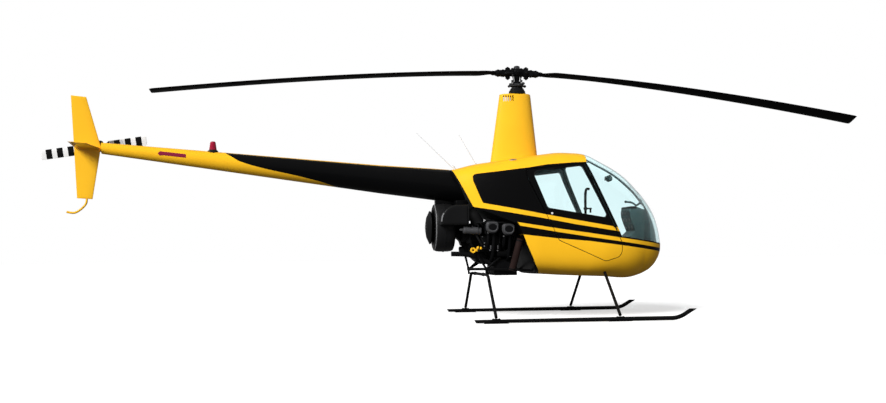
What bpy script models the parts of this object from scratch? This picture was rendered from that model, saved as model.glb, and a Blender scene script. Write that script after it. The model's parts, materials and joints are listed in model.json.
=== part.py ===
"""Two-seat light helicopter standing on its skids, as separate sub-parts.

The model is drawn with the mast axis at x = 0, the nose towards +X, its left side towards +Y and the
ground at z = 0. An empty then moves it all forward, so that the world origin lies under the middle of
the whole machine, rotor blades included. All sizes are in metres.
"""
import math

import bmesh
import bpy
import numpy as np
from mathutils import Matrix, Vector

SEAT_GAP = 0.0003            # gap between pieces that rest on each other
WALL = 0.028                 # cabin walls and doors
GLASS = 0.005                # windshield and door windows
DOOR_GAP = 0.007             # all round each door

# Main rotor
HUB_Z = 2.607
MAIN_RADIUS = 3.835
MAIN_CHORD = 0.183
MAIN_THICK = 0.022
CONE_X = 0.100                # the blades droop from their coning hinges outwards
FRONT_SAG = (0.0329, 0.3517, 1.55)      # slope at the hinge, further droop at the tip, power of its curve
REAR_SAG = (-0.0354, 0.3611, 1.45)
ROOT_PITCH = math.radians(4.5)      # at rest both blades stand with their near edges up
FRONT_TWIST = math.radians(15.5)    # and the front one turns further the same way out to its tip
HUB_HALF, GRIP_END, GRIP_RADIUS = 0.085, 0.235, 0.034

# Tail rotor
TAIL_X, TAIL_Y, TAIL_Z = -4.430, 0.270, 1.811
TAIL_RADIUS = 0.533
TAIL_CHORD = 0.102
TAIL_TILT = math.radians(8.6)

TAIL_REACH = TAIL_RADIUS * math.cos(TAIL_TILT) + TAIL_CHORD / 2 * math.sin(TAIL_TILT)
DATUM_X = (TAIL_REACH - TAIL_X - MAIN_RADIUS) / 2

# Landing gear
SKID_Y = 0.940
SKID_RADIUS = 0.021
SHOE = 0.003
SKID_Z = SHOE + SKID_RADIUS
SADDLE_Z = SKID_Z + SKID_RADIUS + 0.003
REAR_FOOT_X, FRONT_FOOT_X = -0.435, 0.806
STRUT_RADIUS = 0.0155
ARCH_Z = 0.461
TOE_Z = 0.114               # the skids' toes are cut level at this height

# Cabin and body outlines in side view: (x, z) along the middle of the roof and of the belly
ROOF_LINE = ((-0.950, 1.530), (-0.712, 1.566), (-0.501, 1.616), (-0.295, 1.646), (0.000, 1.692),
             (0.243, 1.725), (0.349, 1.738), (0.507, 1.738), (0.640, 1.726), (0.712, 1.704),
             (0.760, 1.680), (0.878, 1.620), (0.984, 1.565), (1.090, 1.499), (1.196, 1.413),
             (1.302, 1.311), (1.354, 1.246), (1.407, 1.170), (1.458, 1.062), (1.490, 0.935),
             (1.508, 0.830), (1.523, 0.755))
BELLY_LINE = ((-0.950, 0.500), (-0.200, 0.472), (0.178, 0.457), (0.383, 0.444), (0.694, 0.430),
              (0.954, 0.417), (1.080, 0.405), (1.165, 0.407), (1.228, 0.418), (1.337, 0.457),
              (1.395, 0.491), (1.452, 0.551), (1.481, 0.600), (1.502, 0.645), (1.515, 0.685),
              (1.523, 0.718))
# Half width of the body behind the cabin: (x, half width)
AFT_WIDTH = ((-0.950, 0.200), (-0.750, 0.290), (-0.550, 0.400), (-0.350, 0.485), (-0.120, 0.545),
             (0.080, 0.560))
CABIN_HALF = 0.560
NOSE_START, NOSE_TIP = 0.700, 1.525
WIDEST_Z, NOSE_Z = 0.950, 0.737
TUMBLE = 0.140               # how far the sides lean in, as a share of the half width
CROWN = 0.050                # how far the roof falls towards its edges

POD_STATIONS = (-0.900, -0.700, -0.500, -0.300, -0.100, 0.150, 0.400, 0.600, 0.700, 0.770, 0.860,
                0.950, 1.050, 1.150, 1.240, 1.325, 1.390, 1.440, 1.476, 1.500, 1.514, 1.522)
QUARTER_DEGREES = (0, 5, 14, 26, 40, 54, 68, 80)

YELLOW, BLACK = (0.95, 0.55, 0.03), (0.012, 0.012, 0.013)
FINISHES = {
    # name: (colour, roughness, metallic)
    "yellow_paint": (YELLOW, 0.28, 0.0),
    "black_paint": (BLACK, 0.25, 0.0),
    "clear_glass": ((0.75, 0.95, 0.97), 0.05, 0.0),
    "black_steel": ((0.02, 0.02, 0.022), 0.45, 0.4),
    "cast_metal": ((0.16, 0.16, 0.17), 0.55, 0.7),
    "dark_plastic": ((0.03, 0.03, 0.035), 0.5, 0.0),
    "seat_cloth": ((0.06, 0.07, 0.08), 0.9, 0.0),
    "hose_cloth": ((0.07, 0.035, 0.03), 0.8, 0.0),
    "red_lens": ((0.35, 0.01, 0.04), 0.15, 0.0),
    "white_paint": ((0.85, 0.85, 0.85), 0.3, 0.0),
}

for leftover in list(bpy.data.objects):
    bpy.data.objects.remove(leftover)

PARTS = bpy.data.collections.new("helicopter")
CUTTERS = bpy.data.collections.new("cutters")
for group in (PARTS, CUTTERS):
    bpy.context.scene.collection.children.link(group)


def material(name):
    """The finish of that name, made the first time it is asked for."""
    found = bpy.data.materials.get(name)
    if found:
        return found
    colour, roughness, metallic = FINISHES[name]
    made = bpy.data.materials.new(name)
    made.use_nodes = True
    shader = made.node_tree.nodes["Principled BSDF"]
    shader.inputs["Base Color"].default_value = (*colour, 1.0)
    shader.inputs["Roughness"].default_value = roughness
    shader.inputs["Metallic"].default_value = metallic
    made.diffuse_color = (*colour, 1.0)
    return made


def axis_empty(name, place, turn=None):
    """An empty at a joint's axis, under the datum; its local matrix is kept for the children."""
    empty = bpy.data.objects.new(name, None)
    PARTS.objects.link(empty)
    empty.parent = datum
    local = Matrix.Translation(place)
    if turn:
        local = local @ turn.to_matrix().to_4x4()
    empty.matrix_basis = local
    return empty


datum = bpy.data.objects.new("datum", None)
PARTS.objects.link(datum)
datum.location = (DATUM_X, 0.0, 0.0)


def add(name, mesh, finish=None, location=(0, 0, 0), turn=None, axis=None, smooth=None):
    """Link a mesh as a named sub-part, or as a hidden cutter if it has no finish."""
    piece = bpy.data.objects.new(name, mesh)
    piece.parent = datum
    piece.location = location
    if turn:
        piece.rotation_euler = turn
    if axis:
        piece.parent = axis
        piece.matrix_parent_inverse = axis.matrix_basis.inverted()
    if finish:
        PARTS.objects.link(piece)
        mesh.materials.append(material(finish))
    else:
        CUTTERS.objects.link(piece)
        piece.hide_render = True
        piece.display_type = "WIRE"
    if smooth:
        mesh.shade_smooth()
        mesh.set_sharp_from_angle(angle=math.radians(smooth))
    return piece


def mesh_from(name, build):
    """A mesh filled by a function that works on an empty bmesh."""
    work = bmesh.new()
    build(work)
    mesh = bpy.data.meshes.new(name)
    work.to_mesh(mesh)
    work.free()
    return mesh


def box(name, low, high, finish=None, bevel=0.0, axis=None):
    """A box between two corners, with its edges rounded if a bevel is given."""
    low, high = Vector(low), Vector(high)
    size = high - low

    def build(work):
        bmesh.ops.create_cube(work, size=1.0, matrix=Matrix.Diagonal((*size, 1.0)))

    piece = add(name, mesh_from(name, build), finish, (low + high) / 2, axis=axis)
    if bevel:
        rounded = piece.modifiers.new("edges", "BEVEL")
        rounded.width = bevel
        rounded.segments = 2
    return piece


AXIS_TURN = {"X": (0, math.pi / 2, 0), "Z": (0, 0, 0)}


def rod(name, start, end, radius, finish=None, axis=None, sides=16, end_radius=None, bevel=0.0):
    """A round rod, or a cone if the end's radius is given, from one point to another."""
    start, end = Vector(start), Vector(end)
    along = end - start

    def build(work):
        bmesh.ops.create_cone(work, cap_ends=True, segments=sides, radius1=radius,
                              radius2=radius if end_radius is None else end_radius,
                              depth=along.length)

    turn = along.to_track_quat("Z", "Y").to_euler()
    piece = add(name, mesh_from(name, build), finish, (start + end) / 2, turn, axis, smooth=40)
    if bevel:
        rounded = piece.modifiers.new("edges", "BEVEL")
        rounded.width = bevel
        rounded.segments = 2
        rounded.limit_method = "ANGLE"
    return piece


def turned(name, profile, direction, location, finish=None, axis=None, steps=32):
    """A solid turned about its own axis: profile gives (radius, height) down its outer side."""
    mesh = bpy.data.meshes.new(name)
    ring = profile[0] == profile[-1]
    points = [(radius, 0.0, height) for radius, height in profile[:len(profile) - ring]]
    edges = [(i, (i + 1) % len(points)) for i in range(len(profile) - 1)]
    mesh.from_pydata(points, edges, [])
    piece = add(name, mesh, finish, location, AXIS_TURN[direction], axis)
    screw = piece.modifiers.new("turn", "SCREW")
    screw.steps = screw.render_steps = steps
    screw.use_merge_vertices = True
    screw.merge_threshold = 0.00005
    screw.use_smooth_shade = False
    return piece


def curve_mesh(name, curve):
    """The closed mesh of a curve object, with its end caps welded."""
    carrier = bpy.data.objects.new(name, curve)
    bpy.context.scene.collection.objects.link(carrier)
    bpy.context.view_layer.update()
    ready = carrier.evaluated_get(bpy.context.evaluated_depsgraph_get())
    mesh = bpy.data.meshes.new_from_object(ready)
    bpy.data.objects.remove(carrier)
    work = bmesh.new()
    work.from_mesh(mesh)
    bmesh.ops.remove_doubles(work, verts=work.verts, dist=0.00001)
    work.to_mesh(mesh)
    work.free()
    mesh.materials.clear()
    return mesh


def tube(name, points, radius, finish=None, axis=None, resolution=2):
    """A round tube along straight or sampled points, closed at both ends."""
    curve = bpy.data.curves.new(name, "CURVE")
    curve.dimensions = "3D"
    curve.bevel_depth = radius
    curve.bevel_resolution = resolution
    curve.use_fill_caps = True
    spline = curve.splines.new("POLY")
    spline.points.add(len(points) - 1)
    for point, place in zip(spline.points, points):
        point.co = (*place, 1.0)
    return add(name, curve_mesh(name, curve), finish, axis=axis, smooth=40)


def rounded_outline(corners, steps=4):
    """Corners (x, z, radius) of a flat outline, with each corner replaced by an arc."""
    outline = []
    for index, (x, z, radius) in enumerate(corners):
        here = Vector((x, z))
        before = Vector(corners[index - 1][:2])
        after = Vector(corners[(index + 1) % len(corners)][:2])
        if radius <= 0:
            outline.append(here)
            continue
        to_before, to_after = (before - here).normalized(), (after - here).normalized()
        half = to_before.angle(to_after) / 2
        reach = radius / math.tan(half)
        centre = here + (to_before + to_after).normalized() * radius / math.sin(half)
        first, last = here + to_before * reach - centre, here + to_after * reach - centre
        turn = math.atan2(first.x * last.y - first.y * last.x, first.dot(last))
        for step in range(steps + 1):
            angle = turn * step / steps
            spoke = Matrix.Rotation(angle, 2) @ first
            outline.append(centre + spoke)
    return outline


def grown(outline, margin):
    """The same outline moved outwards by a margin (inwards if it is negative)."""
    points = [Vector(point[:2]) for point in outline]
    area = sum(points[i - 1].x * points[i].y - points[i].x * points[i - 1].y
               for i in range(len(points)))
    side = margin if area > 0 else -margin
    moved = []
    for index, here in enumerate(points):
        into = (here - points[index - 1]).normalized()
        out = (points[(index + 1) % len(points)] - here).normalized()
        normal_in, normal_out = Vector((into.y, -into.x)), Vector((out.y, -out.x))
        middle = (normal_in + normal_out).normalized()
        moved.append(here + middle * side / middle.dot(normal_in))
    return moved


def slab_mesh(name, outline, low, high):
    """A flat outline in the X-Z plane, made solid between two values of y."""
    curve = bpy.data.curves.new(name, "CURVE")
    curve.dimensions = "2D"
    curve.fill_mode = "BOTH"
    curve.extrude = (high - low) / 2
    spline = curve.splines.new("POLY")
    spline.points.add(len(outline) - 1)
    for point, place in zip(spline.points, outline):
        point.co = (place[0], place[1], 0.0, 1.0)
    spline.use_cyclic_u = True
    mesh = curve_mesh(name, curve)
    stand_up = Matrix.Translation((0, (low + high) / 2, 0)) @ Matrix.Rotation(math.pi / 2, 4, "X")
    mesh.transform(stand_up)
    work = bmesh.new()
    work.from_mesh(mesh)
    bmesh.ops.recalc_face_normals(work, faces=work.faces)
    work.to_mesh(mesh)
    work.free()
    return mesh


def slab(name, outline, low, high, finish=None, axis=None):
    """A slab in side view, as a sub-part or as a cutter."""
    return add(name, slab_mesh(name, outline, low, high), finish, axis=axis)


def loft_mesh(name, rings):
    """A closed mesh through rings of points, each ring with the same number of points."""
    rings = np.asarray(rings, dtype=float)
    count, around = rings.shape[:2]
    points = rings.reshape(-1, 3)
    ring, spoke = np.meshgrid(np.arange(count - 1), np.arange(around), indexing="ij")
    after = (spoke + 1) % around
    quads = np.stack([ring * around + spoke, ring * around + after,
                      (ring + 1) * around + after, (ring + 1) * around + spoke], axis=-1)
    faces = quads.reshape(-1, 4).tolist()
    faces.append(list(range(around)))
    faces.append(list(range((count - 1) * around, count * around)))
    mesh = bpy.data.meshes.new(name)
    mesh.from_pydata(points.tolist(), [], faces)
    work = bmesh.new()
    work.from_mesh(mesh)
    bmesh.ops.recalc_face_normals(work, faces=work.faces)
    work.to_mesh(mesh)
    work.free()
    return mesh


def change(piece, cutter, operation):
    """Cut, join or keep the common part of a piece and a cutter."""
    boolean = piece.modifiers.new(operation.lower(), "BOOLEAN")
    boolean.operation = operation
    boolean.solver = "EXACT"
    boolean.object = cutter


def fused(piece, *others):
    """Join other pieces, which become cutters, to a piece."""
    for other in others:
        change(piece, other, "UNION")
    return piece


def smooth_line(x, table):
    """Read a smooth curve through the points (x, value) of a table."""
    knots, values = np.array(table, dtype=float).T
    slopes = np.gradient(values, knots)
    x = np.clip(x, knots[0], knots[-1])
    index = np.clip(np.searchsorted(knots, x) - 1, 0, len(knots) - 2)
    width = knots[index + 1] - knots[index]
    t = (x - knots[index]) / width
    return ((1 + 2 * t) * (1 - t) ** 2 * values[index] + t * (1 - t) ** 2 * width * slopes[index]
            + t * t * (3 - 2 * t) * values[index + 1]
            + t * t * (t - 1) * width * slopes[index + 1])


def pod_ring(x, inset=0.0):
    """One section of the cabin and body across x: a soft rectangle that leans in towards the roof."""
    nose = min(max((x - NOSE_START) / (NOSE_TIP - NOSE_START), 0.0), 1.0)
    half = CABIN_HALF * (1 - nose ** 2.4) ** (1 / 2.4)
    if x < AFT_WIDTH[-1][0]:
        half = float(smooth_line(x, AFT_WIDTH))
    top = float(smooth_line(x, ROOF_LINE))
    bottom = float(smooth_line(x, BELLY_LINE))
    falling = min(max((x - 0.9) / (NOSE_TIP - 0.9), 0.0), 1.0)
    middle = WIDEST_Z + (NOSE_Z - WIDEST_Z) * falling ** 2
    square = 1 - min(max((x - 0.65) / 0.60, 0.0), 1.0)
    degrees = np.array(QUARTER_DEGREES, dtype=float)
    quarter = np.concatenate([degrees, [90.0], 180 - degrees[::-1]])
    angles = np.radians(np.concatenate([quarter, 180 + quarter[1:-1]]))
    across, lift = np.cos(angles), np.sin(angles)
    upper = lift > 1e-9
    power = np.where(upper, 2.5 + 3.5 * square, 2.5 + 2.5 * square)
    across = np.sign(across) * np.abs(across) ** (2 / power)
    lift = np.sign(lift) * np.abs(lift) ** (2 / power)
    half, top, bottom = half - inset, top - inset, bottom + inset
    lean = 1 - TUMBLE * np.maximum(lift, 0.0)
    y = half * across * lean
    z = np.where(upper, middle + (top - middle) * lift * (1 - CROWN * across ** 2),
                 middle + (middle - bottom) * lift)
    moved = x - inset * nose
    return np.stack([np.full_like(y, moved), y, z], axis=1)


def pod_mesh(name, inset=0.0):
    """The whole cabin and body as one closed loft, moved inwards by an inset."""
    rings = []
    for x in POD_STATIONS:
        ring = pod_ring(x, inset)
        outside = pod_ring(x)
        width = ring[:, 1].max()
        height = outside[:, 2].max() - outside[:, 2].min() - 2 * inset
        if width > 0.02 and height > 0.03 and outside[:, 1].max() > inset + 0.02:
            rings.append(ring)
    return loft_mesh(name, rings)


SIDE = 0.9                   # slabs reach this far out, past the cabin's sides
BOTH_SIDES = (-SIDE, SIDE)
RIGHT, LEFT = (-SIDE, -0.2), (0.2, SIDE)

# Lines in side view, (x, z)
POST_FRONT_LOW, POST_FRONT_HIGH = (0.965, 0.838), (0.630, 1.604)
SILL_BREAK, SILL_NOSE = (1.000, 0.838), (1.522, 0.762)
ROOF_EDGE_REAR = (-0.060, 1.5275)
ROOF_EDGE_MIDDLE, ROOF_EDGE_HIGH = (0.643, 1.690), (0.665, 1.900)
TUB_TOP_REAR = 0.865
COWL_REAR_TOP, COWL_REAR_LOW = (-0.859, 1.800), (-0.555, 1.160)
BAY_CORNER = (-0.126, 0.985)
TUB_REAR_TOP, TUB_REAR_LOW = (-0.0694, 0.865), (0.178, 0.200)

DOOR_CORNERS = ((0.594, 1.600, 0.015), (-0.012, 1.533, 0.030), (-0.004, 1.450, 0.150),
                (0.302, 0.808, 0.035), (0.795, 0.590, 0.080), (0.962, 0.640, 0.080),
                (0.966, 0.770, 0.120), (0.897, 0.911, 0.150))
WINDOW_CORNERS = ((0.571, 1.574, 0.030), (0.048, 1.512, 0.045), (0.190, 1.138, 0.040),
                  (0.826, 1.030, 0.030))
door_outline = rounded_outline(DOOR_CORNERS)
window_outline = rounded_outline(WINDOW_CORNERS)

windshield_region = (POST_FRONT_LOW, SILL_BREAK, SILL_NOSE, (1.700, 0.735), (1.700, 1.900),
                     ROOF_EDGE_HIGH, ROOF_EDGE_MIDDLE, POST_FRONT_HIGH)
roof_region = (ROOF_EDGE_REAR, (0.560, 1.596), (0.880, 0.838), POST_FRONT_LOW, POST_FRONT_HIGH,
               ROOF_EDGE_MIDDLE, ROOF_EDGE_HIGH, (-0.060, 1.900))
cowl_region = (COWL_REAR_TOP, COWL_REAR_LOW, BAY_CORNER, TUB_REAR_TOP, (0.360, TUB_TOP_REAR),
               (0.100, 1.5453), ROOF_EDGE_REAR, (-0.060, 1.900), (-0.859, 1.900))
tub_region = (TUB_REAR_LOW, (1.700, 0.200), (1.700, 0.735), SILL_NOSE, SILL_BREAK, POST_FRONT_LOW,
              (0.900, 0.838), (0.450, TUB_TOP_REAR), TUB_REAR_TOP)
cavity_region = ((0.132, 0.400), (-0.018, 0.872), (-0.055, 1.300), (-0.055, 1.900), (1.800, 1.900),
                 (1.800, 0.300), (0.170, 0.300))

# Cutters shared by the cabin's panels
wall_core = add("wall_core", pod_mesh("wall_core", WALL))
cabin_space = add("cabin_space", pod_mesh("cabin_space", WALL))
change(cabin_space, slab("cavity_slab", cavity_region, *BOTH_SIDES), "INTERSECT")
glass_core = add("glass_core", pod_mesh("glass_core", GLASS))
body_form = add("body_form", pod_mesh("body_form", -SEAT_GAP))
tub_form = slab("tub_form", grown(tub_region, SEAT_GAP / 2), *BOTH_SIDES)
cowl_form = slab("cowl_form", grown(cowl_region, SEAT_GAP / 2), *BOTH_SIDES)
door_holes = [slab(f"door_hole_{side}", grown(door_outline, DOOR_GAP), *span)
              for side, span in (("right", RIGHT), ("left", LEFT))]


def pod_panel(name, region, finish, span=BOTH_SIDES, inset=0.0, core=None, margin=-SEAT_GAP / 2,
              axis=None, minus=()):
    """A panel of the cabin: the body's form kept inside a region, hollowed by a core."""
    panel = add(name, pod_mesh(name, inset), finish, axis=axis)
    change(panel, slab(f"{name}_region", grown(region, margin), *span), "INTERSECT")
    if core:
        change(panel, core, "DIFFERENCE")
    for cutter in minus:
        change(panel, cutter, "DIFFERENCE")
    return panel


def build_cabin():
    """Tub, roof with its door posts, aft cowl, windshield and its bow."""
    pod_panel("cabin_tub", tub_region, "yellow_paint", core=cabin_space, minus=door_holes)
    roof = pod_panel("cabin_roof", roof_region, "yellow_paint", core=wall_core, minus=door_holes)
    pod_panel("aft_cowl", cowl_region, "black_paint", core=cabin_space, minus=door_holes)
    bow_half = 0.012
    for side, span in (("right", (-SIDE, -bow_half - SEAT_GAP)), ("left", (bow_half + SEAT_GAP, SIDE))):
        pod_panel(f"windshield_{side}", windshield_region, "clear_glass", span, core=glass_core)
    bow_core = add("bow_core", pod_mesh("bow_core", 0.016))
    pod_panel("windshield_bow", windshield_region, "dark_plastic", (-bow_half, bow_half),
              inset=-0.003, core=bow_core)
    return roof


# The hinge line runs up the front of the door, just outside its skin, leaning back and in
HINGE_LOW, HINGE_HIGH = Vector((0.934, 0.574, 0.838)), Vector((0.599, 0.507, 1.600))
HINGES = ((0.12, 0.028), (0.80, 0.036))     # share of the hinge line, depth of the arms' ends behind it
HINGE_HALF_LENGTH, HINGE_RADIUS = 0.022, 0.007
DOOR_ARM_X, POST_ARM_X = -0.023, 0.015


def hinge_half(name, sign, share, depth, arm_x, place):
    """Half a hinge: a knuckle on the hinge line, with an arm that ends inside the wall."""
    low = Vector((HINGE_LOW.x, sign * HINGE_LOW.y, HINGE_LOW.z))
    high = Vector((HINGE_HIGH.x, sign * HINGE_HIGH.y, HINGE_HIGH.z))
    along = (high - low).normalized()
    near = low + (high - low) * share + place * SEAT_GAP * along
    far = near + place * HINGE_HALF_LENGTH * along
    middle = (near + far) / 2
    arm = rod(f"{name}_arm", middle, middle + Vector((arm_x, -sign * depth, 0)), 0.8 * HINGE_RADIUS,
              sides=9)
    return rod(name, near, far, HINGE_RADIUS, sides=12), arm


def build_doors(roof):
    """Both doors with their windows, each on its own hinge line, and the hinges on the roof's posts."""
    window_core = add("window_core", pod_mesh("window_core", 0.010 + GLASS))
    for side, sign, span in (("right", -1, RIGHT), ("left", 1, LEFT)):
        low = Vector((HINGE_LOW.x, sign * HINGE_LOW.y, HINGE_LOW.z))
        high = Vector((HINGE_HIGH.x, sign * HINGE_HIGH.y, HINGE_HIGH.z))
        along = high - low if side == "right" else low - high
        hinge = axis_empty(f"door_hinge_{side}", low, along.to_track_quat("Z", "Y"))
        door = pod_panel(f"door_{side}", door_outline, "black_paint", span, core=wall_core, margin=0.0,
                         axis=hinge, minus=[slab(f"window_hole_{side}", window_outline, *span)])
        for share, depth in HINGES:
            fused(door, *hinge_half(f"door_knuckle_{side}_{share}", sign, share, depth, DOOR_ARM_X, 1))
            fused(roof, *hinge_half(f"post_knuckle_{side}_{share}", sign, share, depth, POST_ARM_X, -1))
        pod_panel(f"door_window_{side}", window_outline, "clear_glass", span, inset=0.010,
                  core=window_core, margin=-SEAT_GAP, axis=hinge)


FAIRING_BASE_Z, FAIRING_TOP_Z = 1.600, 2.380


def oval_ring(front, rear, half, z, count=24):
    """A level streamlined section: round in front, narrowing towards the rear."""
    angles = np.arange(count) * 2 * math.pi / count
    along = np.cos(angles)
    x = (front + rear) / 2 + (front - rear) / 2 * along
    y = half * np.sin(angles) * (0.86 + 0.14 * along)
    return np.stack([x, y, np.full(count, z)], axis=1)


def build_fairing():
    """The mast fairing stands on the roof; its foot follows the roof's slope."""
    rings = [oval_ring(0.222, -0.307, 0.140, FAIRING_BASE_Z),
             oval_ring(0.142, -0.192, 0.095, FAIRING_TOP_Z)]
    fairing = add("mast_fairing", loft_mesh("mast_fairing", rings), "yellow_paint", smooth=30)
    change(fairing, body_form, "DIFFERENCE")


BOOM = ((-0.550, 1.365, 0.186), (-0.900, 1.410, 0.168), (-1.480, 1.465, 0.1485),
        (-4.3025, 1.780, 0.057))     # (x, height of its middle, radius)
BOOM_WALL = 0.010


def boom_mesh(name, margin=0.0, sides=24):
    """The tail boom's long cone, moved outwards by a margin."""
    turns = np.arange(sides) * 2 * math.pi / sides
    rings = [np.stack([np.full(sides, x), (radius + margin) * np.cos(turns),
                       z + (radius + margin) * np.sin(turns)], axis=1) for x, z, radius in BOOM]
    return loft_mesh(name, rings)


def build_boom():
    """The tail boom, cut where it meets the slanted back of the cowl."""
    boom = add("tail_boom", boom_mesh("tail_boom"), "black_paint", smooth=30)
    region = (COWL_REAR_TOP, COWL_REAR_LOW, (-0.365, 0.760), (-5.0, 0.760), (-5.0, 2.200),
              (-1.049, 2.200))
    change(boom, slab("boom_region", grown(region, -SEAT_GAP), *BOTH_SIDES), "INTERSECT")
    change(boom, add("boom_core", boom_mesh("boom_core", -BOOM_WALL)), "DIFFERENCE")


def wing_ring(leading, trailing, thickness, across, count=7):
    """A symmetric streamlined section from a leading to a trailing point, thick along a vector."""
    share = (1 - np.cos(np.linspace(0, math.pi, count))) / 2
    form = (0.2969 * np.sqrt(share) - 0.126 * share - 0.3516 * share ** 2 + 0.2843 * share ** 3
            - 0.1015 * share ** 4) * 5 + 0.06 * share
    leading, trailing, across = (np.array(v, dtype=float) for v in (leading, trailing, across))
    middle = leading + share[:, None] * (trailing - leading)
    offset = form[:, None] * across * thickness
    upper, lower = middle + offset, middle - offset
    return np.concatenate([upper, lower[:0:-1]])


FIN_Y, FIN_ROOT_Z = -0.015, 1.790
FINS = (
    # name, leading root, trailing root, leading tip, trailing tip (x, z)
    ("fin_upper", (-4.308, 1.790), (-4.571, 1.790), (-4.456, 2.300), (-4.606, 2.316)),
    ("fin_lower", (-4.308, 1.7897), (-4.571, 1.7897), (-4.386, 1.262), (-4.537, 1.272)),
)
FIN_THICK_ROOT, FIN_THICK_TIP = 0.020, 0.014


def build_tail():
    """Fins, one-sided stabilizer, tail skid, gearbox and tail rotor."""
    for name, lead_root, trail_root, lead_tip, trail_tip in FINS:
        rings = [wing_ring((lead[0], FIN_Y, lead[1]), (trail[0], FIN_Y, trail[1]), thick, (0, 1, 0))
                 for lead, trail, thick in ((lead_root, trail_root, FIN_THICK_ROOT),
                                            (lead_tip, trail_tip, FIN_THICK_TIP))]
        add(name, loft_mesh(name, rings), "yellow_paint", smooth=40)
    stabilizer_root_y = FIN_Y - FIN_THICK_ROOT / 2 - 2 * SEAT_GAP
    rings = [wing_ring(lead, trail, thick, (0, 0, 1)) for lead, trail, thick in (
        ((-4.312, stabilizer_root_y, 1.776), (-4.566, stabilizer_root_y, 1.790), 0.022),
        ((-4.364, -0.480, 1.782), (-4.530, -0.480, 1.796), 0.015))]
    add("stabilizer", loft_mesh("stabilizer", rings), "yellow_paint", smooth=40)
    skid_path = ((-4.443, FIN_Y, 1.2645), (-4.443, FIN_Y, 1.225), (-4.475, FIN_Y, 1.180),
                 (-4.535, FIN_Y, 1.133), (-4.575, FIN_Y, 1.122), (-4.636, FIN_Y, 1.135))
    tube("tail_skid", skid_path, 0.011, "yellow_paint")

    housing_y = FIN_Y + FIN_THICK_ROOT / 2 + 2 * SEAT_GAP
    housing = box("tail_gearbox", (-4.500, housing_y, 1.750), (-4.303, 0.085, 1.860), "cast_metal", 0.012)
    fused(housing, rod("gearbox_neck", (TAIL_X, 0.060, TAIL_Z), (TAIL_X, 0.215, TAIL_Z), 0.030))

    spin = axis_empty("tail_rotor_axis", (TAIL_X, TAIL_Y, TAIL_Z))
    hub = rod("tail_hub", (TAIL_X, 0.2155, TAIL_Z), (TAIL_X, 0.305, TAIL_Z), 0.016, "black_steel", spin)
    ahead = Vector((math.cos(TAIL_TILT), 0, math.sin(TAIL_TILT)))
    middle = Vector((TAIL_X, TAIL_Y, TAIL_Z))
    fused(hub, rod("tail_bar", middle - ahead * 0.085, middle + ahead * 0.085, 0.022))
    up = np.array((-ahead.z, 0, ahead.x))
    for letter, sign in (("a", 1), ("b", -1)):
        rings = []
        for reach, half, thick in ((0.0853, 0.018, 0.016), (0.110, 0.022, 0.015), (0.150, 0.051, 0.012),
                                   (TAIL_RADIUS, 0.051, 0.010)):
            centre = np.array(middle + ahead * sign * reach)
            rings.append(wing_ring(centre + up * half, centre - up * half, thick, (0, 1, 0)))
        add(f"tail_blade_{letter}", loft_mesh(f"tail_blade_{letter}", rings), "white_paint",
            axis=spin, smooth=40)


def blade_height(reach, sag):
    """Height of a resting blade's middle at a distance from the mast."""
    slope, droop, power = sag
    out = max(reach - CONE_X, 0.0)
    return HUB_Z - slope * out - droop * (out / (MAIN_RADIUS - CONE_X)) ** power


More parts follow.
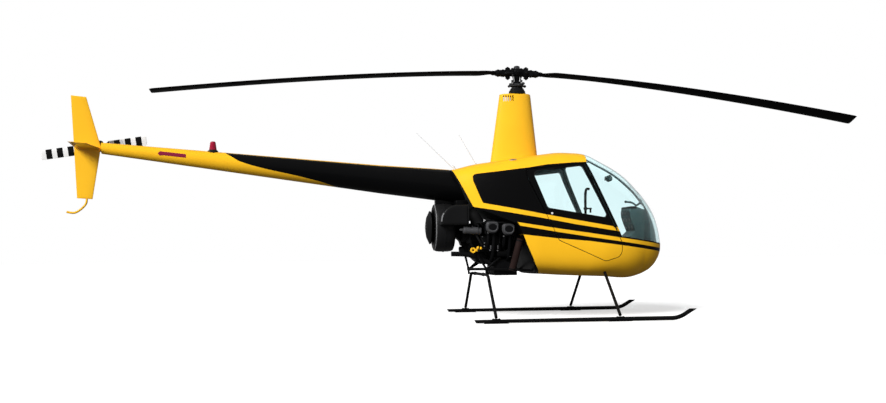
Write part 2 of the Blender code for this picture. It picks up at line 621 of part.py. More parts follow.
def build_main_rotor():
    """Boot and swashplate on the fairing, mast, hub, grips, links and the two drooping blades."""
    top = FAIRING_TOP_Z + SEAT_GAP
    turned("swash_boot", ((0.048, 0.078), (0.060, 0.074), (0.086, 0.030), (0.086, 0.012), (0.092, 0.010),
                          (0.092, 0.0), (0.034, 0.0), (0.034, 0.078), (0.048, 0.078)), "Z", (0, 0, top),
           "dark_plastic")
    spin = axis_empty("main_rotor_axis", (0, 0, HUB_Z))
    mast = rod("main_mast", (0, 0, top + 0.0005), (0, 0, HUB_Z - 0.0303), 0.027, "black_steel", spin)
    fused(mast, rod("mast_collar", (0, 0, 2.500), (0, 0, 2.518), 0.034))
    ring = turned("swash_ring", ((0.070, 0.028), (0.075, 0.024), (0.075, 0.004), (0.070, 0.0),
                          (0.0275, 0.0), (0.0275, 0.028), (0.070, 0.028)), "Z", (0, 0, 2.464),
                  "cast_metal", spin)
    hub = box("rotor_hub", (-HUB_HALF, -0.032, HUB_Z - 0.030), (HUB_HALF, 0.032, HUB_Z + 0.038),
              "black_steel", 0.012, spin)
    fused(hub, rod("hub_nut", (0, 0, HUB_Z + 0.030), (0, 0, HUB_Z + 0.083), 0.024, sides=6))
    for letter, sign, sag, twist in (("a", 1, FRONT_SAG, -FRONT_TWIST), ("b", -1, REAR_SAG, 0.0)):
        end_z = blade_height(GRIP_END, sag)
        slope = (HUB_Z + 0.002 - end_z) / (GRIP_END - HUB_HALF)
        grip_start = HUB_HALF + SEAT_GAP + 0.6 * GRIP_RADIUS * abs(slope)
        grip = rod(f"blade_grip_{letter}", (sign * grip_start, 0, HUB_Z + 0.002),
                   (sign * GRIP_END, 0, end_z), GRIP_RADIUS, "black_steel", spin, end_radius=0.026)
        horn_y = sign * 0.072
        fused(grip, rod(f"horn_{letter}", (sign * 0.152, 0, HUB_Z - 0.004),
                        (sign * 0.060, horn_y, HUB_Z - 0.012), 0.014, sides=10))
        fused(ring, rod(f"pitch_link_{letter}", (sign * 0.044, sign * 0.050, 2.480),
                        (sign * 0.060, horn_y, HUB_Z - 0.0271), 0.006, sides=8))
        rings = []
        for reach, chord, thick in ((GRIP_END + SEAT_GAP + 0.015 * abs(slope), 0.050, 0.030),
                                    (0.300, 0.080, 0.030), (0.420, MAIN_CHORD, 0.030),
                                    (0.800, MAIN_CHORD, 0.025), (1.050, MAIN_CHORD, MAIN_THICK),
                                    (1.300, MAIN_CHORD, MAIN_THICK), (1.900, MAIN_CHORD, MAIN_THICK),
                                    (2.500, MAIN_CHORD, MAIN_THICK), (3.100, MAIN_CHORD, MAIN_THICK),
                                    (MAIN_RADIUS - 0.030, MAIN_CHORD, MAIN_THICK),
                                    (MAIN_RADIUS, MAIN_CHORD * 0.93, MAIN_THICK * 0.6)):
            z = blade_height(reach, sag)
            out = max(reach - 0.850, 0.0) / (MAIN_RADIUS - 0.850)
            lift = chord / 2 * math.sin(twist * out ** 0.8 - sign * ROOT_PITCH)
            nose_share = 0.5 if reach < 0.35 else 0.28
            lead, trail = sign * chord * nose_share, -sign * chord * (1 - nose_share)
            rings.append(wing_ring((sign * reach, lead, z + lift), (sign * reach, trail, z - lift), thick,
                                   (0, 0, 1)))
        add(f"main_blade_{letter}", loft_mesh(f"main_blade_{letter}", rings), "black_paint", axis=spin,
            smooth=40)


CRANK_Z = 0.955
FAN_FRONT_X, FAN_REAR_X = -0.715, -0.925
FAN_Z = 0.955


def build_engine():
    """Engine as plain solids, the cooling fan in its scroll, exhaust and hose."""
    block = box("engine_block", (-0.640, -0.150, 0.780), (-0.140, 0.150, 0.978), "cast_metal", 0.025)
    fused(block, box("sump", (-0.560, -0.120, 0.640), (-0.120, 0.120, 0.800)),
          rod("crank_flange", (-0.600, 0, CRANK_Z), (FAN_FRONT_X + SEAT_GAP, 0, CRANK_Z), 0.060))
    heads = {
        # side: outward direction, and (x, z) of each cylinder's axis
        "right": (-1, ((-0.365, 0.950), (-0.200, 0.929))),
        "left": (1, ((-0.345, 0.938), (-0.182, 0.915))),
    }
    for name, (side, axes) in heads.items():
        inner, outer = sorted((side * (0.150 + SEAT_GAP), side * 0.390))
        shroud = box(f"cylinders_{name}", (-0.525, inner, 0.975), (-0.200, outer, 1.010), "cast_metal")
        for x, z in axes:
            cover = sorted((side * 0.380, side * 0.450))
            fused(shroud, rod(f"barrel_{name}_{x}", (x, side * (0.150 + SEAT_GAP), z), (x, side * 0.395, z),
                              0.073),
                  box(f"cover_{name}_{x}", (x - 0.061, cover[0], z - 0.056),
                      (x + 0.061, cover[1], z + 0.056), bevel=0.018))
    turned("fan_scroll", ((0.0, 0.210), (0.228, 0.210), (0.247, 0.190), (0.255, 0.150), (0.255, 0.060),
                          (0.247, 0.020), (0.228, 0.0), (0.180, 0.0), (0.165, 0.010), (0.165, 0.110),
                          (0.0, 0.110)), "X", (FAN_REAR_X, 0, FAN_Z), "dark_plastic")
    spin = axis_empty("fan_axis", (FAN_REAR_X, 0, FAN_Z))
    turned("fan_wheel", ((0.0, 0.1888), (0.030, 0.1888), (0.030, 0.110), (0.150, 0.110), (0.150, 0.050),
                         (0.172, 0.050), (0.176, 0.046), (0.172, 0.042), (0.110, 0.012), (0.045, 0.0),
                         (0.0, 0.0)), "X", (FAN_REAR_X - 0.0793, 0, FAN_Z), "black_steel", spin)

    duct = ((-0.889, 1.005, 0.0), (-0.875, 1.085, 0.08), (-0.800, 1.179, 0.10), (-0.606, 1.179, 0.015),
            (-0.606, 0.972, 0.015), (-0.889, 0.972, 0.01))
    duct_piece = slab("cooling_duct", rounded_outline(duct), -0.400, -0.225, "dark_plastic")
    scroll_form = rod("scroll_form", (FAN_REAR_X - 0.1, 0, FAN_Z), (FAN_FRONT_X + 0.0003, 0, FAN_Z), 0.2553,
                      sides=64)
    change(duct_piece, scroll_form, "DIFFERENCE")
    edges = duct_piece.modifiers.new("edges", "BEVEL")
    edges.width, edges.segments, edges.limit_method = 0.018, 2, "ANGLE"
    edges.angle_limit = math.radians(60)
    starter = rod("alternator", (-0.656, -0.332, 0.922), (-0.463, -0.332, 0.908), 0.037, "black_steel",
                  bevel=0.006)
    fused(starter, box("alternator_arm", (-0.515, -0.330, 0.900), (-0.475, -0.1503, 0.926)))
    muffler = box("muffler", (-0.310, -0.232, 0.450), (-0.070, 0.232, 0.6397), "black_steel", 0.030)
    fused(muffler,
          tube("tail_pipe", ((-0.760, -0.200, 0.676), (-0.600, -0.200, 0.672), (-0.480, -0.200, 0.640),
                             (-0.400, -0.200, 0.590), (-0.250, -0.200, 0.545)), 0.025))
    hose = tube("air_hose", ((-0.0800, -0.450, 0.822), (-0.108, -0.450, 0.735), (-0.142, -0.450, 0.605),
                             (-0.175, -0.450, 0.500)), 0.036, "hose_cloth")
    change(hose, tub_form, "DIFFERENCE")


FRAME_Y = 0.300


def build_frames():
    """Welded steel tubes that carry the engine and the boom, as one frame.

    Each side has a corner at the rear, a little farther back on the left. From it run a longeron, an
    upright that bends at the engine's rear mount, a brace over the front mount, and a foot down to
    the rear cross tube.
    """
    corners = {"right": (-0.402, -0.246, 0.516), "left": (-0.507, 0.246, 0.508)}
    frame = rod("engine_frame", (-0.3985, -0.262, 0.5163), (-0.5105, 0.262, 0.5077), 0.0145, "black_steel",
                sides=12)
    for side, sign in (("right", -1), ("left", 1)):
        x, y, z = corners[side]
        to_arch = math.copysign(STRUT_RADIUS + 0.0003, x - REAR_FOOT_X)
        rear_mount, front_mount = (-0.575, sign * 0.279, 0.800), (-0.200, sign * 0.276, 0.690)
        brace_end = (-0.020, sign * 0.296, 0.690 + 0.180 * (0.690 - z) / (-0.200 - x))
        fused(frame,
              rod(f"longeron_{side}", (x, y, z), (0.0900, sign * FRAME_Y, 0.4965), 0.013, sides=10),
              rod(f"upright_{side}", (x - 0.001, y, z), (-0.575, sign * 0.263, 0.800), 0.012, sides=9),
              rod(f"post_{side}", (-0.575, sign * 0.263, 0.796), (-0.542, sign * FRAME_Y, 1.200), 0.012,
                  sides=9),
              rod(f"rear_mount_{side}", rear_mount, (-0.575, sign * 0.1503, 0.800), 0.0165, sides=14),
              rod(f"front_mount_{side}", front_mount, (-0.200, sign * 0.1203, 0.690), 0.013, sides=11),
              rod(f"brace_{side}", (x + 0.001, y, z), brace_end, 0.0115, sides=9),
              rod(f"foot_{side}", (x, y, z - 0.001), (x, y, ARCH_Z - 0.006), 0.0105, sides=9),
              rod(f"foot_arm_{side}", (x + to_arch / 4, y, ARCH_Z + 0.005),
                  (REAR_FOOT_X + to_arch, y, ARCH_Z + 0.001), 0.0090, sides=11))
    fused(frame, rod("stay_left", (-0.506, 0.241, 0.509), (-0.330, 0.1300, 0.690), 0.0105, sides=9))
    change(frame, tub_form, "DIFFERENCE")
    change(frame, cowl_form, "DIFFERENCE")


def arch(half_top):
    """Points of the rear cross tube from the right skid over to the left one, bent at its shoulders."""
    half = ((SKID_Y - 0.006, SADDLE_Z + 0.0112), (half_top + 0.075, ARCH_Z - 0.075),
            (half_top + 0.035, ARCH_Z - 0.024), (half_top - 0.030, ARCH_Z))
    return [(REAR_FOOT_X, -y, z) for y, z in half] + [(REAR_FOOT_X, y, z) for y, z in reversed(half)]


def build_gear():
    """Skids with flat shoes and level-cut toes, the rear cross tube and the two front struts."""
    for side, sign in (("right", -1), ("left", 1)):
        y = sign * SKID_Y
        bend = [(1.330 + 0.270 * math.sin(a), y, SKID_Z + 0.270 * (1 - math.cos(a)))
                for a in (0.0, 0.11, 0.22, 0.33, 0.44, 0.55)]
        bend.append((bend[-1][0] + 0.180, y, bend[-1][2] + 0.180 * math.tan(0.55)))
        skid = tube(f"skid_{side}", [(-0.660, y, SKID_Z)] + bend, SKID_RADIUS, "black_paint", resolution=3)
        for foot_x in (REAR_FOOT_X, FRONT_FOOT_X):
            shoe = box(f"shoe_{side}_{foot_x}", (foot_x - 0.12, y - 0.014, 0.0),
                       (foot_x + 0.12, y + 0.014, SKID_Z - 0.005))
            saddle = box(f"saddle_{side}_{foot_x}", (foot_x - 0.040, y - 0.019, SKID_Z + 0.005),
                         (foot_x + 0.040, y + 0.019, SADDLE_Z))
            fused(skid, shoe, saddle)
        toe = ((1.40, TOE_Z), (1.80, TOE_Z), (1.80, 0.40), (1.40, 0.40))
        change(skid, slab(f"toe_cut_{side}", toe, y - 0.05, y + 0.05), "DIFFERENCE")
    tube("rear_cross_tube", arch(0.510), STRUT_RADIUS, "black_steel")
    for side, sign in (("right", -1), ("left", 1)):
        foot = (FRONT_FOOT_X, sign * (SKID_Y - 0.006), SADDLE_Z + 0.0120)
        strut = rod(f"front_strut_{side}", foot, (FRONT_FOOT_X, sign * 0.440, 0.470), STRUT_RADIUS,
                    "black_steel")
        change(strut, body_form, "DIFFERENCE")


def build_inside():
    """Seats, console and controls."""
    floor_fit = WALL + 0.0010
    seat_region = ((0.560, 0.300), (0.560, 0.700), (0.535, 0.720), (0.0392, 0.720), (0.1325, 0.469),
                   (0.170, 0.300))
    pod_panel("seat_base", seat_region, "dark_plastic", (-0.512, 0.512), inset=floor_fit, margin=-0.0005)
    for side, sign in (("right", -1), ("left", 1)):
        inner, outer = sorted((sign * 0.035, sign * 0.495))
        box(f"seat_cushion_{side}", (0.150, inner, 0.7198), (0.610, outer, 0.795), "seat_cloth", 0.025)
        back = ((0.0049, 0.800), (0.128, 0.800), (0.070, 1.120), (-0.0396, 1.120), (-0.0183, 0.8735))
        padding = slab(f"seat_back_{side}", grown(back, -0.0005), inner, outer, "seat_cloth")
        edges = padding.modifiers.new("edges", "BEVEL")
        edges.width, edges.segments = 0.02, 2
    console = ((1.140, 0.300), (1.140, 0.835), (1.195, 0.862), (1.240, 0.905), (1.208, 0.985),
               (1.184, 1.060), (1.182, 1.105), (1.200, 1.150), (1.245, 1.168), (1.300, 1.165),
               (1.360, 1.148), (1.430, 1.112), (1.600, 1.050), (1.600, 0.300))
    beside = ((1.100, 0.200), (1.338, 0.200), (1.338, 1.300), (1.100, 1.300))
    sides = (slab("beside_right", beside, -SIDE, -0.160), slab("beside_left", beside, 0.160, SIDE))
    pod_panel("console", console, "dark_plastic", (-0.400, 0.400), inset=floor_fit, margin=0.0, minus=sides)
    stick = tube("cyclic", ((0.745, 0, 0.4575), (0.738, 0, 0.800), (0.736, 0, 1.200), (0.740, 0, 1.335),
                            (0.754, 0, 1.366), (0.784, 0, 1.360)), 0.014, "black_steel")
    fused(stick, rod("cyclic_arm", (0.737, 0, 1.150), (0.806, 0, 1.150), 0.009, sides=11),
          rod("cyclic_knob", (0.792, 0, 1.149), (0.792, 0, 1.105), 0.010, sides=13))
    tube("collective", ((0.200, 0.0, 0.7314), (0.300, 0.0, 0.765), (0.620, 0.0, 0.880)), 0.012,
         "black_steel")


def build_trim():
    """Beacon and whip antennas."""
    beacon = turned("beacon", ((0.0, 0.118), (0.022, 0.116), (0.027, 0.104), (0.038, 0.026),
                               (0.038, 0.020), (0.046, 0.018), (0.046, 0.0), (0.0, 0.0)), "Z",
                    (-3.200, 0, 1.738), "red_lens", steps=20)
    change(beacon, add("boom_form", boom_mesh("boom_form", SEAT_GAP)), "DIFFERENCE")
    for letter, foot, tip in (("a", (-0.680, 0.0007, 1.560), (-1.091, 0.0007, 1.957)),
                              ("b", (-0.399, 0.2, 1.600), (-0.605, 0.2, 1.962))):
        whip = tube(f"antenna_{letter}", (foot, tip), 0.003, "white_paint")
        fused(whip, rod(f"foot_{letter}", foot, Vector(foot) + Vector((-0.025, 0, 0.055)), 0.014, sides=9))
        change(whip, body_form, "DIFFERENCE")


def build_all():
    """Every sub-part."""
    build_doors(build_cabin())
    build_fairing()
    build_boom()
    build_tail()
    build_main_rotor()
    build_engine()
    build_frames()
    build_gear()
    build_inside()
    build_trim()


build_all()
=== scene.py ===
"""Light two-seat helicopter on skids: its visible pieces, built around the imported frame.

Sizes are in metres in the mast frame: x runs forward from the mast's axis, y to the left side and z up
from the ground. The row frame starts MAST_X behind the mast, so every mesh is moved there as it is made.
"""
from __future__ import annotations

import json
import logging
import math
from dataclasses import dataclass, field
from enum import Enum
from typing import Sequence

import bmesh
import bpy
import numpy as np
from mathutils import Matrix

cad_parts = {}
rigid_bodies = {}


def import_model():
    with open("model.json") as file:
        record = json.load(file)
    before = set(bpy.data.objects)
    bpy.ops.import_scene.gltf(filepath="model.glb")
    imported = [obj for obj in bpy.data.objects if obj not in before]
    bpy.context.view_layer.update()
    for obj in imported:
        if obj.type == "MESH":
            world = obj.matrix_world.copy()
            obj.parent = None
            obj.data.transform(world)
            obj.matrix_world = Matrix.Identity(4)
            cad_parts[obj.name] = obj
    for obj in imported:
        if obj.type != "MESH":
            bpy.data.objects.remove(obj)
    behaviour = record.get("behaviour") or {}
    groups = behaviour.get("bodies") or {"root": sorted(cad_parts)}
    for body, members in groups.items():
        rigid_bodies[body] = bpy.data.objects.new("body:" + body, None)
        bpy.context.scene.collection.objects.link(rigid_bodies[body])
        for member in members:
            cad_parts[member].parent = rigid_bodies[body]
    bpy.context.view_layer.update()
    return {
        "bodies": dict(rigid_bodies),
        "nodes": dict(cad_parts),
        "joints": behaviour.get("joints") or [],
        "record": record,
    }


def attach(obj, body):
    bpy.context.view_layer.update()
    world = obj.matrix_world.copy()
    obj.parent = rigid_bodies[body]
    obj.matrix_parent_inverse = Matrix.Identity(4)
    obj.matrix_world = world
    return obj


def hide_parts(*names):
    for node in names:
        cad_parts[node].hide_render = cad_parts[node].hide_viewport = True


LOG = logging.getLogger("helicopter")
MAST_X = 0.564818
SIDES = (("right", -1.0), ("left", 1.0))
Array = np.ndarray
Colour = tuple[float, float, float]


# Shapes as arrays -----------------------------------------------------------------------------------

@dataclass
class Shell:
    """A surface as arrays: points (n, 3), quads (m, 4), and caps of any number of corners."""

    points: Array
    quads: Array
    caps: list[Array] = field(default_factory=list)

    def __add__(self, other: Shell) -> Shell:
        """Both surfaces in one, the other's indices after this one's."""
        start = len(self.points)
        return Shell(np.concatenate([self.points, other.points]),
                     np.concatenate([self.quads, other.quads + start]),
                     self.caps + [cap + start for cap in other.caps])

    def mirrored(self) -> Shell:
        """The same surface on the other side of the machine: y becomes -y."""
        return Shell(self.points * np.array((1.0, -1.0, 1.0)), self.quads, self.caps)


def joined(shells: Sequence[Shell]) -> Shell:
    """All the surfaces of a list as one."""
    total = shells[0]
    for shell in shells[1:]:
        total = total + shell
    return total


def turns(count: int) -> Array:
    """Even angles round a full turn, from zero."""
    return np.arange(count) * 2 * math.pi / count


def circle(count: int, radius: float, centre: Sequence[float] = (0.0, 0.0, 0.0), axis: int = 2,
           start: float = 0.0) -> Array:
    """Even points on a circle square to an axis: r cos a and r sin a are its other two values."""
    angle = turns(count) + start
    flat = radius * np.stack([np.cos(angle), np.sin(angle)], axis=1)
    return np.array(centre) + np.insert(flat, axis, 0.0, axis=1)


def curve(x: Array, table: Sequence[tuple[float, float]]) -> Array:
    """A smooth curve through the points of a table, by cubic Hermite pieces.

    With t the share of a piece, h its width, p and q its end values and m and n their slopes:
    (1 + 2t)(1 - t)^2 p + t(1 - t)^2 h m + t^2(3 - 2t) q + t^2(t - 1) h n.

    Args:
        x: places at which to read the curve.
        table: (place, value) rows in rising order.

    Returns:
        The values at x.
    """
    knots, values = np.array(table, dtype=float).T
    slopes = np.gradient(values, knots)
    x = np.clip(x, knots[0], knots[-1])
    index = np.clip(np.searchsorted(knots, x) - 1, 0, len(knots) - 2)
    width = knots[index + 1] - knots[index]
    t = (x - knots[index]) / width
    return ((1 + 2 * t) * (1 - t) ** 2 * values[index] + t * (1 - t) ** 2 * width * slopes[index]
            + t * t * (3 - 2 * t) * values[index + 1] + t * t * (t - 1) * width * slopes[index + 1])


def lofted(rings: Array, loop: bool = False) -> Shell:
    """Skin a stack of rings: face (i, j) joins points j and j + 1 of rings i and i + 1.

    Args:
        rings: (count, around, 3) points.
        loop: whether the last ring joins the first one, as on a tyre.

    Returns:
        The closed surface.
    """
    count, around = rings.shape[:2]
    i, j = np.meshgrid(np.arange(count if loop else count - 1), np.arange(around), indexing="ij")
    k, after = (i + 1) % count, (j + 1) % around
    quads = np.stack([i * around + j, i * around + after, k * around + after, k * around + j], axis=-1)
    ends = [] if loop else [np.arange(around)[::-1], (count - 1) * around + np.arange(around)]
    return Shell(rings.reshape(-1, 3), quads.reshape(-1, 4), ends)


def unit(vectors: Array) -> Array:
    """The same vectors, each of length one."""
    return vectors / np.linalg.norm(vectors, axis=-1, keepdims=True)


def square_pair(axis: Array) -> tuple[Array, Array]:
    """Two unit vectors square to an axis and to each other."""
    helper = np.eye(3)[np.argmin(np.abs(axis))]
    first = unit(np.cross(axis, helper))
    return first, np.cross(axis, first)


def tube(path: Sequence[Sequence[float]] | Array, radius: float | Array, sides: int = 16) -> Shell:
    """Carry a circle along a path: P + r (cos a N + sin a B), N and B square to the path at P.

    Args:
        path: (k, 3) points.
        radius: one radius, or one for each point.
        sides: points around the circle.

    Returns:
        The closed tube.
    """
    path = np.asarray(path, dtype=float)
    tangent = unit(np.gradient(path, axis=0))
    helper = np.eye(3)[np.argmin(np.abs(tangent).max(axis=0))]
    normal = unit(np.cross(tangent, helper))
    side = np.cross(tangent, normal)
    angle = turns(sides)
    spokes = np.cos(angle)[None, :, None] * normal[:, None] + np.sin(angle)[None, :, None] * side[:, None]
    return lofted(path[:, None] + np.broadcast_to(radius, len(path))[:, None, None] * spokes)


def rod(start: Sequence[float], end: Sequence[float], radius: float, end_radius: float | None = None,
        sides: int = 24, edge: float = 0.0015) -> Shell:
    """A round rod or cone between two points, with a small chamfer at both ends."""
    start, end = np.array(start, dtype=float), np.array(end, dtype=float)
    length = float(np.linalg.norm(end - start))
    last = radius if end_radius is None else end_radius
    edge = min(edge, 0.3 * length, 0.5 * radius, 0.5 * last)
    profile = ((radius - edge, 0.0), (radius, edge), (last, length - edge), (last - edge, length))
    return turned(profile, start, end - start, sides)


def disc(centre: Sequence[float], axis: Sequence[float], radius: float, half: float, edge: float = 0.002,
         sides: int = 40) -> Shell:
    """A round disc with chamfered edges, reaching half its thickness to both sides of its centre."""
    return turned(((radius - edge, -half), (radius, edge - half), (radius, half - edge),
                   (radius - edge, half)), centre, axis, sides)


def turned(profile: Sequence[tuple[float, float]], centre: Sequence[float], axis: Sequence[float],
           sides: int = 48, loop: bool = False) -> Shell:
    """Turn a profile about an axis: C + h A + r (cos a U + sin a V) for its (r, h) rows."""
    axis = unit(np.array(axis, dtype=float))
    first, second = square_pair(axis)
    radius, height = np.array(profile, dtype=float).T
    angle = turns(sides)
    spokes = np.cos(angle)[:, None] * first + np.sin(angle)[:, None] * second
    rings = np.array(centre, dtype=float) + height[:, None, None] * axis + radius[:, None, None] * spokes
    return lofted(rings, loop)


def prism(outline: Array, low: float, high: float, axis: int = 1) -> Shell:
    """Stand a flat outline between two heights along an axis; its rows are the other two values."""
    outline = np.asarray(outline, dtype=float)
    rings = [np.insert(outline, axis, level, axis=1) for level in (low, high)]
    return lofted(np.array(rings))


def soft_box(low: Sequence[float], high: Sequence[float], radius: float, axis: int = 2,
             steps: int = 3) -> Shell:
    """A box with all its edges rounded.

    Its rings are rounded rectangles: corner centres at half size - r, corner radius r sin b, at a
    height r (1 - cos b) in from each end, with b from 0 to a right angle.

    Args:
        low: lowest corner.
        high: highest corner.
        radius: radius of the edges.
        axis: axis along which the rings are stacked.
        steps: segments of each rounded edge.

    Returns:
        The closed box.
    """
    low, high = np.roll(np.array(low, float), 2 - axis), np.roll(np.array(high, float), 2 - axis)
    half = (high - low) / 2
    radius = min(radius, 0.98 * float(half.min()))
    corner = np.arange(steps + 1) * math.pi / 2 / steps
    angle = (np.arange(4)[:, None] * math.pi / 2 + corner).ravel()
    sign = np.repeat(np.array(((1, 1), (-1, 1), (-1, -1), (1, -1))), steps + 1, axis=0)
    centre = sign * (half[:2] - radius)
    around = np.stack([np.cos(angle), np.sin(angle)], axis=1)
    bend = np.linspace(0.0, math.pi / 2, steps + 1)
    reach = np.concatenate([radius * np.sin(bend), radius * np.sin(bend[::-1])])
    drop = radius * (1 - np.cos(bend))
    level = np.concatenate([low[2] + drop, high[2] - drop[::-1]])
    flat = centre[None] + reach[:, None, None] * around[None] + (low + half)[:2]
    rings = np.concatenate([flat, np.broadcast_to(level[:, None, None], (len(level), len(angle), 1))], axis=2)
    return lofted(np.roll(rings, axis - 2, axis=2))


def eased(points: Sequence[Sequence[float]], rounds: int = 3) -> Array:
    """Round the bends of a path by cutting its corners at a quarter of each side, again and again."""
    path = np.asarray(points, dtype=float)
    for _ in range(rounds):
        before, after = path[:-1], path[1:]
        inner = np.stack([0.75 * before + 0.25 * after, 0.25 * before + 0.75 * after], axis=1).reshape(-1, 3)
        path = np.concatenate([path[:1], inner[1:-1], path[-1:]])
    return path


def repeated(shell: Shell, places: Array, axes: Array | Sequence[float] = (0.0, 0.0, 1.0)) -> Shell:
    """Copy a small shape, drawn about the origin along +Z, to many places: P + x U + y V + z A.

    Args:
        shell: the shape to repeat.
        places: (k, 3) places.
        axes: direction of each copy's own z, or one for all.

    Returns:
        All copies as one surface.
    """
    places = np.asarray(places, dtype=float)
    axes = unit(np.broadcast_to(np.asarray(axes, dtype=float), places.shape))
    helper = np.where(np.abs(axes[:, :1]) < 0.7, np.array((1.0, 0.0, 0.0)), np.array((0.0, 1.0, 0.0)))
    first = unit(np.cross(helper, axes))
    second = np.cross(axes, first)
    local = shell.points
    points = (places[:, None] + local[None, :, :1] * first[:, None] + local[None, :, 1:2] * second[:, None]
              + local[None, :, 2:] * axes[:, None])
    offset = np.arange(len(places)) * len(local)
    quads = (shell.quads[None] + offset[:, None, None]).reshape(-1, 4)
    return Shell(points.reshape(-1, 3), quads, [cap + start for start in offset for cap in shell.caps])


def bolt(radius: float, height: float, sides: int = 6) -> Shell:
    """A bolt head about the origin, its foot sunk a little below z = 0."""
    return turned(((radius, -0.4 * height), (radius, 0.75 * height), (0.8 * radius, height)),
                  (0.0, 0.0, 0.0), (0.0, 0.0, 1.0), sides)


def section(count: int = 14) -> Array:
    """Unit streamlined section, (share of chord, half thickness), along the top and back below.

    Half thickness = 5 (0.2969 s^0.5 - 0.126 s - 0.3516 s^2 + 0.2843 s^3 - 0.1015 s^4) + 0.06 s.
    """
    share = (1 - np.cos(np.linspace(0.0, math.pi, count))) / 2
    form = 5 * (0.2969 * np.sqrt(share) - 0.126 * share - 0.3516 * share ** 2 + 0.2843 * share ** 3
                - 0.1015 * share ** 4) + 0.06 * share
    upper, lower = np.stack([share, form], axis=1), np.stack([share, -form], axis=1)
    return np.concatenate([upper, lower[:0:-1]])


def wing(leads: Array, trails: Array, thickness: Array, across: Sequence[float], count: int = 14) -> Shell:
    """Loft streamlined sections between leading and trailing points: L + s (T - L) + t h W.

    Args:
        leads: (k, 3) leading points.
        trails: (k, 3) trailing points.
        thickness: (k,) thicknesses.
        across: direction of the thickness.
        count: points from the leading to the trailing edge.

    Returns:
        The closed wing.
    """
    share, form = section(count).T
    leads, trails = np.asarray(leads, dtype=float), np.asarray(trails, dtype=float)
    middle = leads[:, None] + share[None, :, None] * (trails - leads)[:, None]
    offset = form[None, :, None] * np.asarray(thickness)[:, None, None] * np.array(across, dtype=float)
    return lofted(middle + offset)


def rounded(corners: Sequence[tuple[float, float, float]], steps: int = 8) -> Array:
    """Replace each corner (x, z, radius) of a flat outline by an arc of that radius."""
    outline: list[Array] = []
    places = np.array([corner[:2] for corner in corners])
    for index, (here, (_, _, radius)) in enumerate(zip(places, corners)):
        back = unit(places[index - 1] - here)
        ahead = unit(places[(index + 1) % len(places)] - here)
        half = math.acos(float(np.clip(back @ ahead, -1, 1))) / 2
        centre = here + unit(back + ahead) * radius / math.sin(half)
        first = here + back * radius / math.tan(half) - centre
        last = here + ahead * radius / math.tan(half) - centre
        turn = math.atan2(first[0] * last[1] - first[1] * last[0], first @ last)
        angle = turn * np.arange(steps + 1) / steps
        spokes = np.stack([first[0] * np.cos(angle) - first[1] * np.sin(angle),
                           first[0] * np.sin(angle) + first[1] * np.cos(angle)], axis=1)
        outline.append(centre + spokes)
    return np.concatenate(outline)


def grown(outline: Sequence[Sequence[float]] | Array, margin: float) -> Array:
    """Move a flat outline outwards by a margin, inwards if it is negative."""
    here = np.asarray(outline, dtype=float)[:, :2]
    before, after = np.roll(here, 1, axis=0), np.roll(here, -1, axis=0)
    area = float(np.sum(before[:, 0] * here[:, 1] - here[:, 0] * before[:, 1]))
    into, out = unit(here - before), unit(after - here)
    normal_in = np.stack([into[:, 1], -into[:, 0]], axis=1)
    normal_out = np.stack([out[:, 1], -out[:, 0]], axis=1)
    middle = unit(normal_in + normal_out)
    reach = math.copysign(margin, margin * area) / np.sum(middle * normal_in, axis=1, keepdims=True)
    return here + middle * reach


# Meshes and pieces ----------------------------------------------------------------------------------

class Cut(Enum):
    """What a cutter does to a solid."""

    KEEP = "INTERSECT"
    TAKE = "DIFFERENCE"
    JOIN = "UNION"


def mesh_of(shell: Shell, name: str = "shape") -> bpy.types.Mesh:
    """A closed mesh of a surface in the mast frame, with doubles merged and faces turned outwards."""
    mesh = bpy.data.meshes.new(name)
    mesh.from_pydata(shell.points.tolist(), [], shell.quads.tolist() + [cap.tolist() for cap in shell.caps])
    work = bmesh.new()
    work.from_mesh(mesh)
    bmesh.ops.remove_doubles(work, verts=work.verts, dist=0.00002)
    bmesh.ops.dissolve_degenerate(work, edges=work.edges, dist=0.00001)
    bmesh.ops.recalc_face_normals(work, faces=work.faces)
    work.to_mesh(mesh)
    work.free()
    return mesh


def carved(base: Shell, *steps: tuple[Cut, Shell]) -> bpy.types.Mesh:
    """Cut a solid with others by the Boolean modifier, one step after another.

    Args:
        base: the solid to start from.
        steps: what each further solid does to it.

    Returns:
        The finished mesh, in the mast frame.
    """
    scene = bpy.context.scene.collection
    body = bpy.data.objects.new("carving", mesh_of(base))
    scene.objects.link(body)
    cutters = []
    for cut, shell in steps:
        cutter = bpy.data.objects.new("cutter", mesh_of(shell))
        scene.objects.link(cutter)
        cutters.append(cutter)
        boolean = body.modifiers.new(cut.name, "BOOLEAN")
        boolean.operation, boolean.solver, boolean.object = cut.value, "MANIFOLD", cutter
    bpy.context.view_layer.update()
    ready = bpy.data.meshes.new_from_object(body.evaluated_get(bpy.context.evaluated_depsgraph_get()))
    for spare in (body, *cutters):
        bpy.data.objects.remove(spare)
    return ready


CABIN_SPAN = (-0.9, 0.8)     # the cabin's middle line runs between these places, at y = 0
CABIN_MIDDLE_Z = 1.0
LOOKS_IN = -0.15             # a face looks inwards if its normal's share away from that line is less
LOOKS_AFT = -0.80            # and backwards if its normal's x is less than this


def inner_faces(mesh: bpy.types.Mesh) -> Array:
    """Mark the faces of a mast-frame shell that look in towards the cabin's middle line."""
    count = len(mesh.polygons)
    centres, normals = np.empty(count * 3), np.empty(count * 3)
    mesh.polygons.foreach_get("center", centres)
    mesh.polygons.foreach_get("normal", normals)
    centres, normals = centres.reshape(-1, 3), normals.reshape(-1, 3)
    line = np.stack([centres[:, 0].clip(*CABIN_SPAN), np.zeros(count), np.full(count, CABIN_MIDDLE_Z)], 1)
    return np.sum(unit(centres - line + 1e-9) * normals, axis=1) < LOOKS_IN


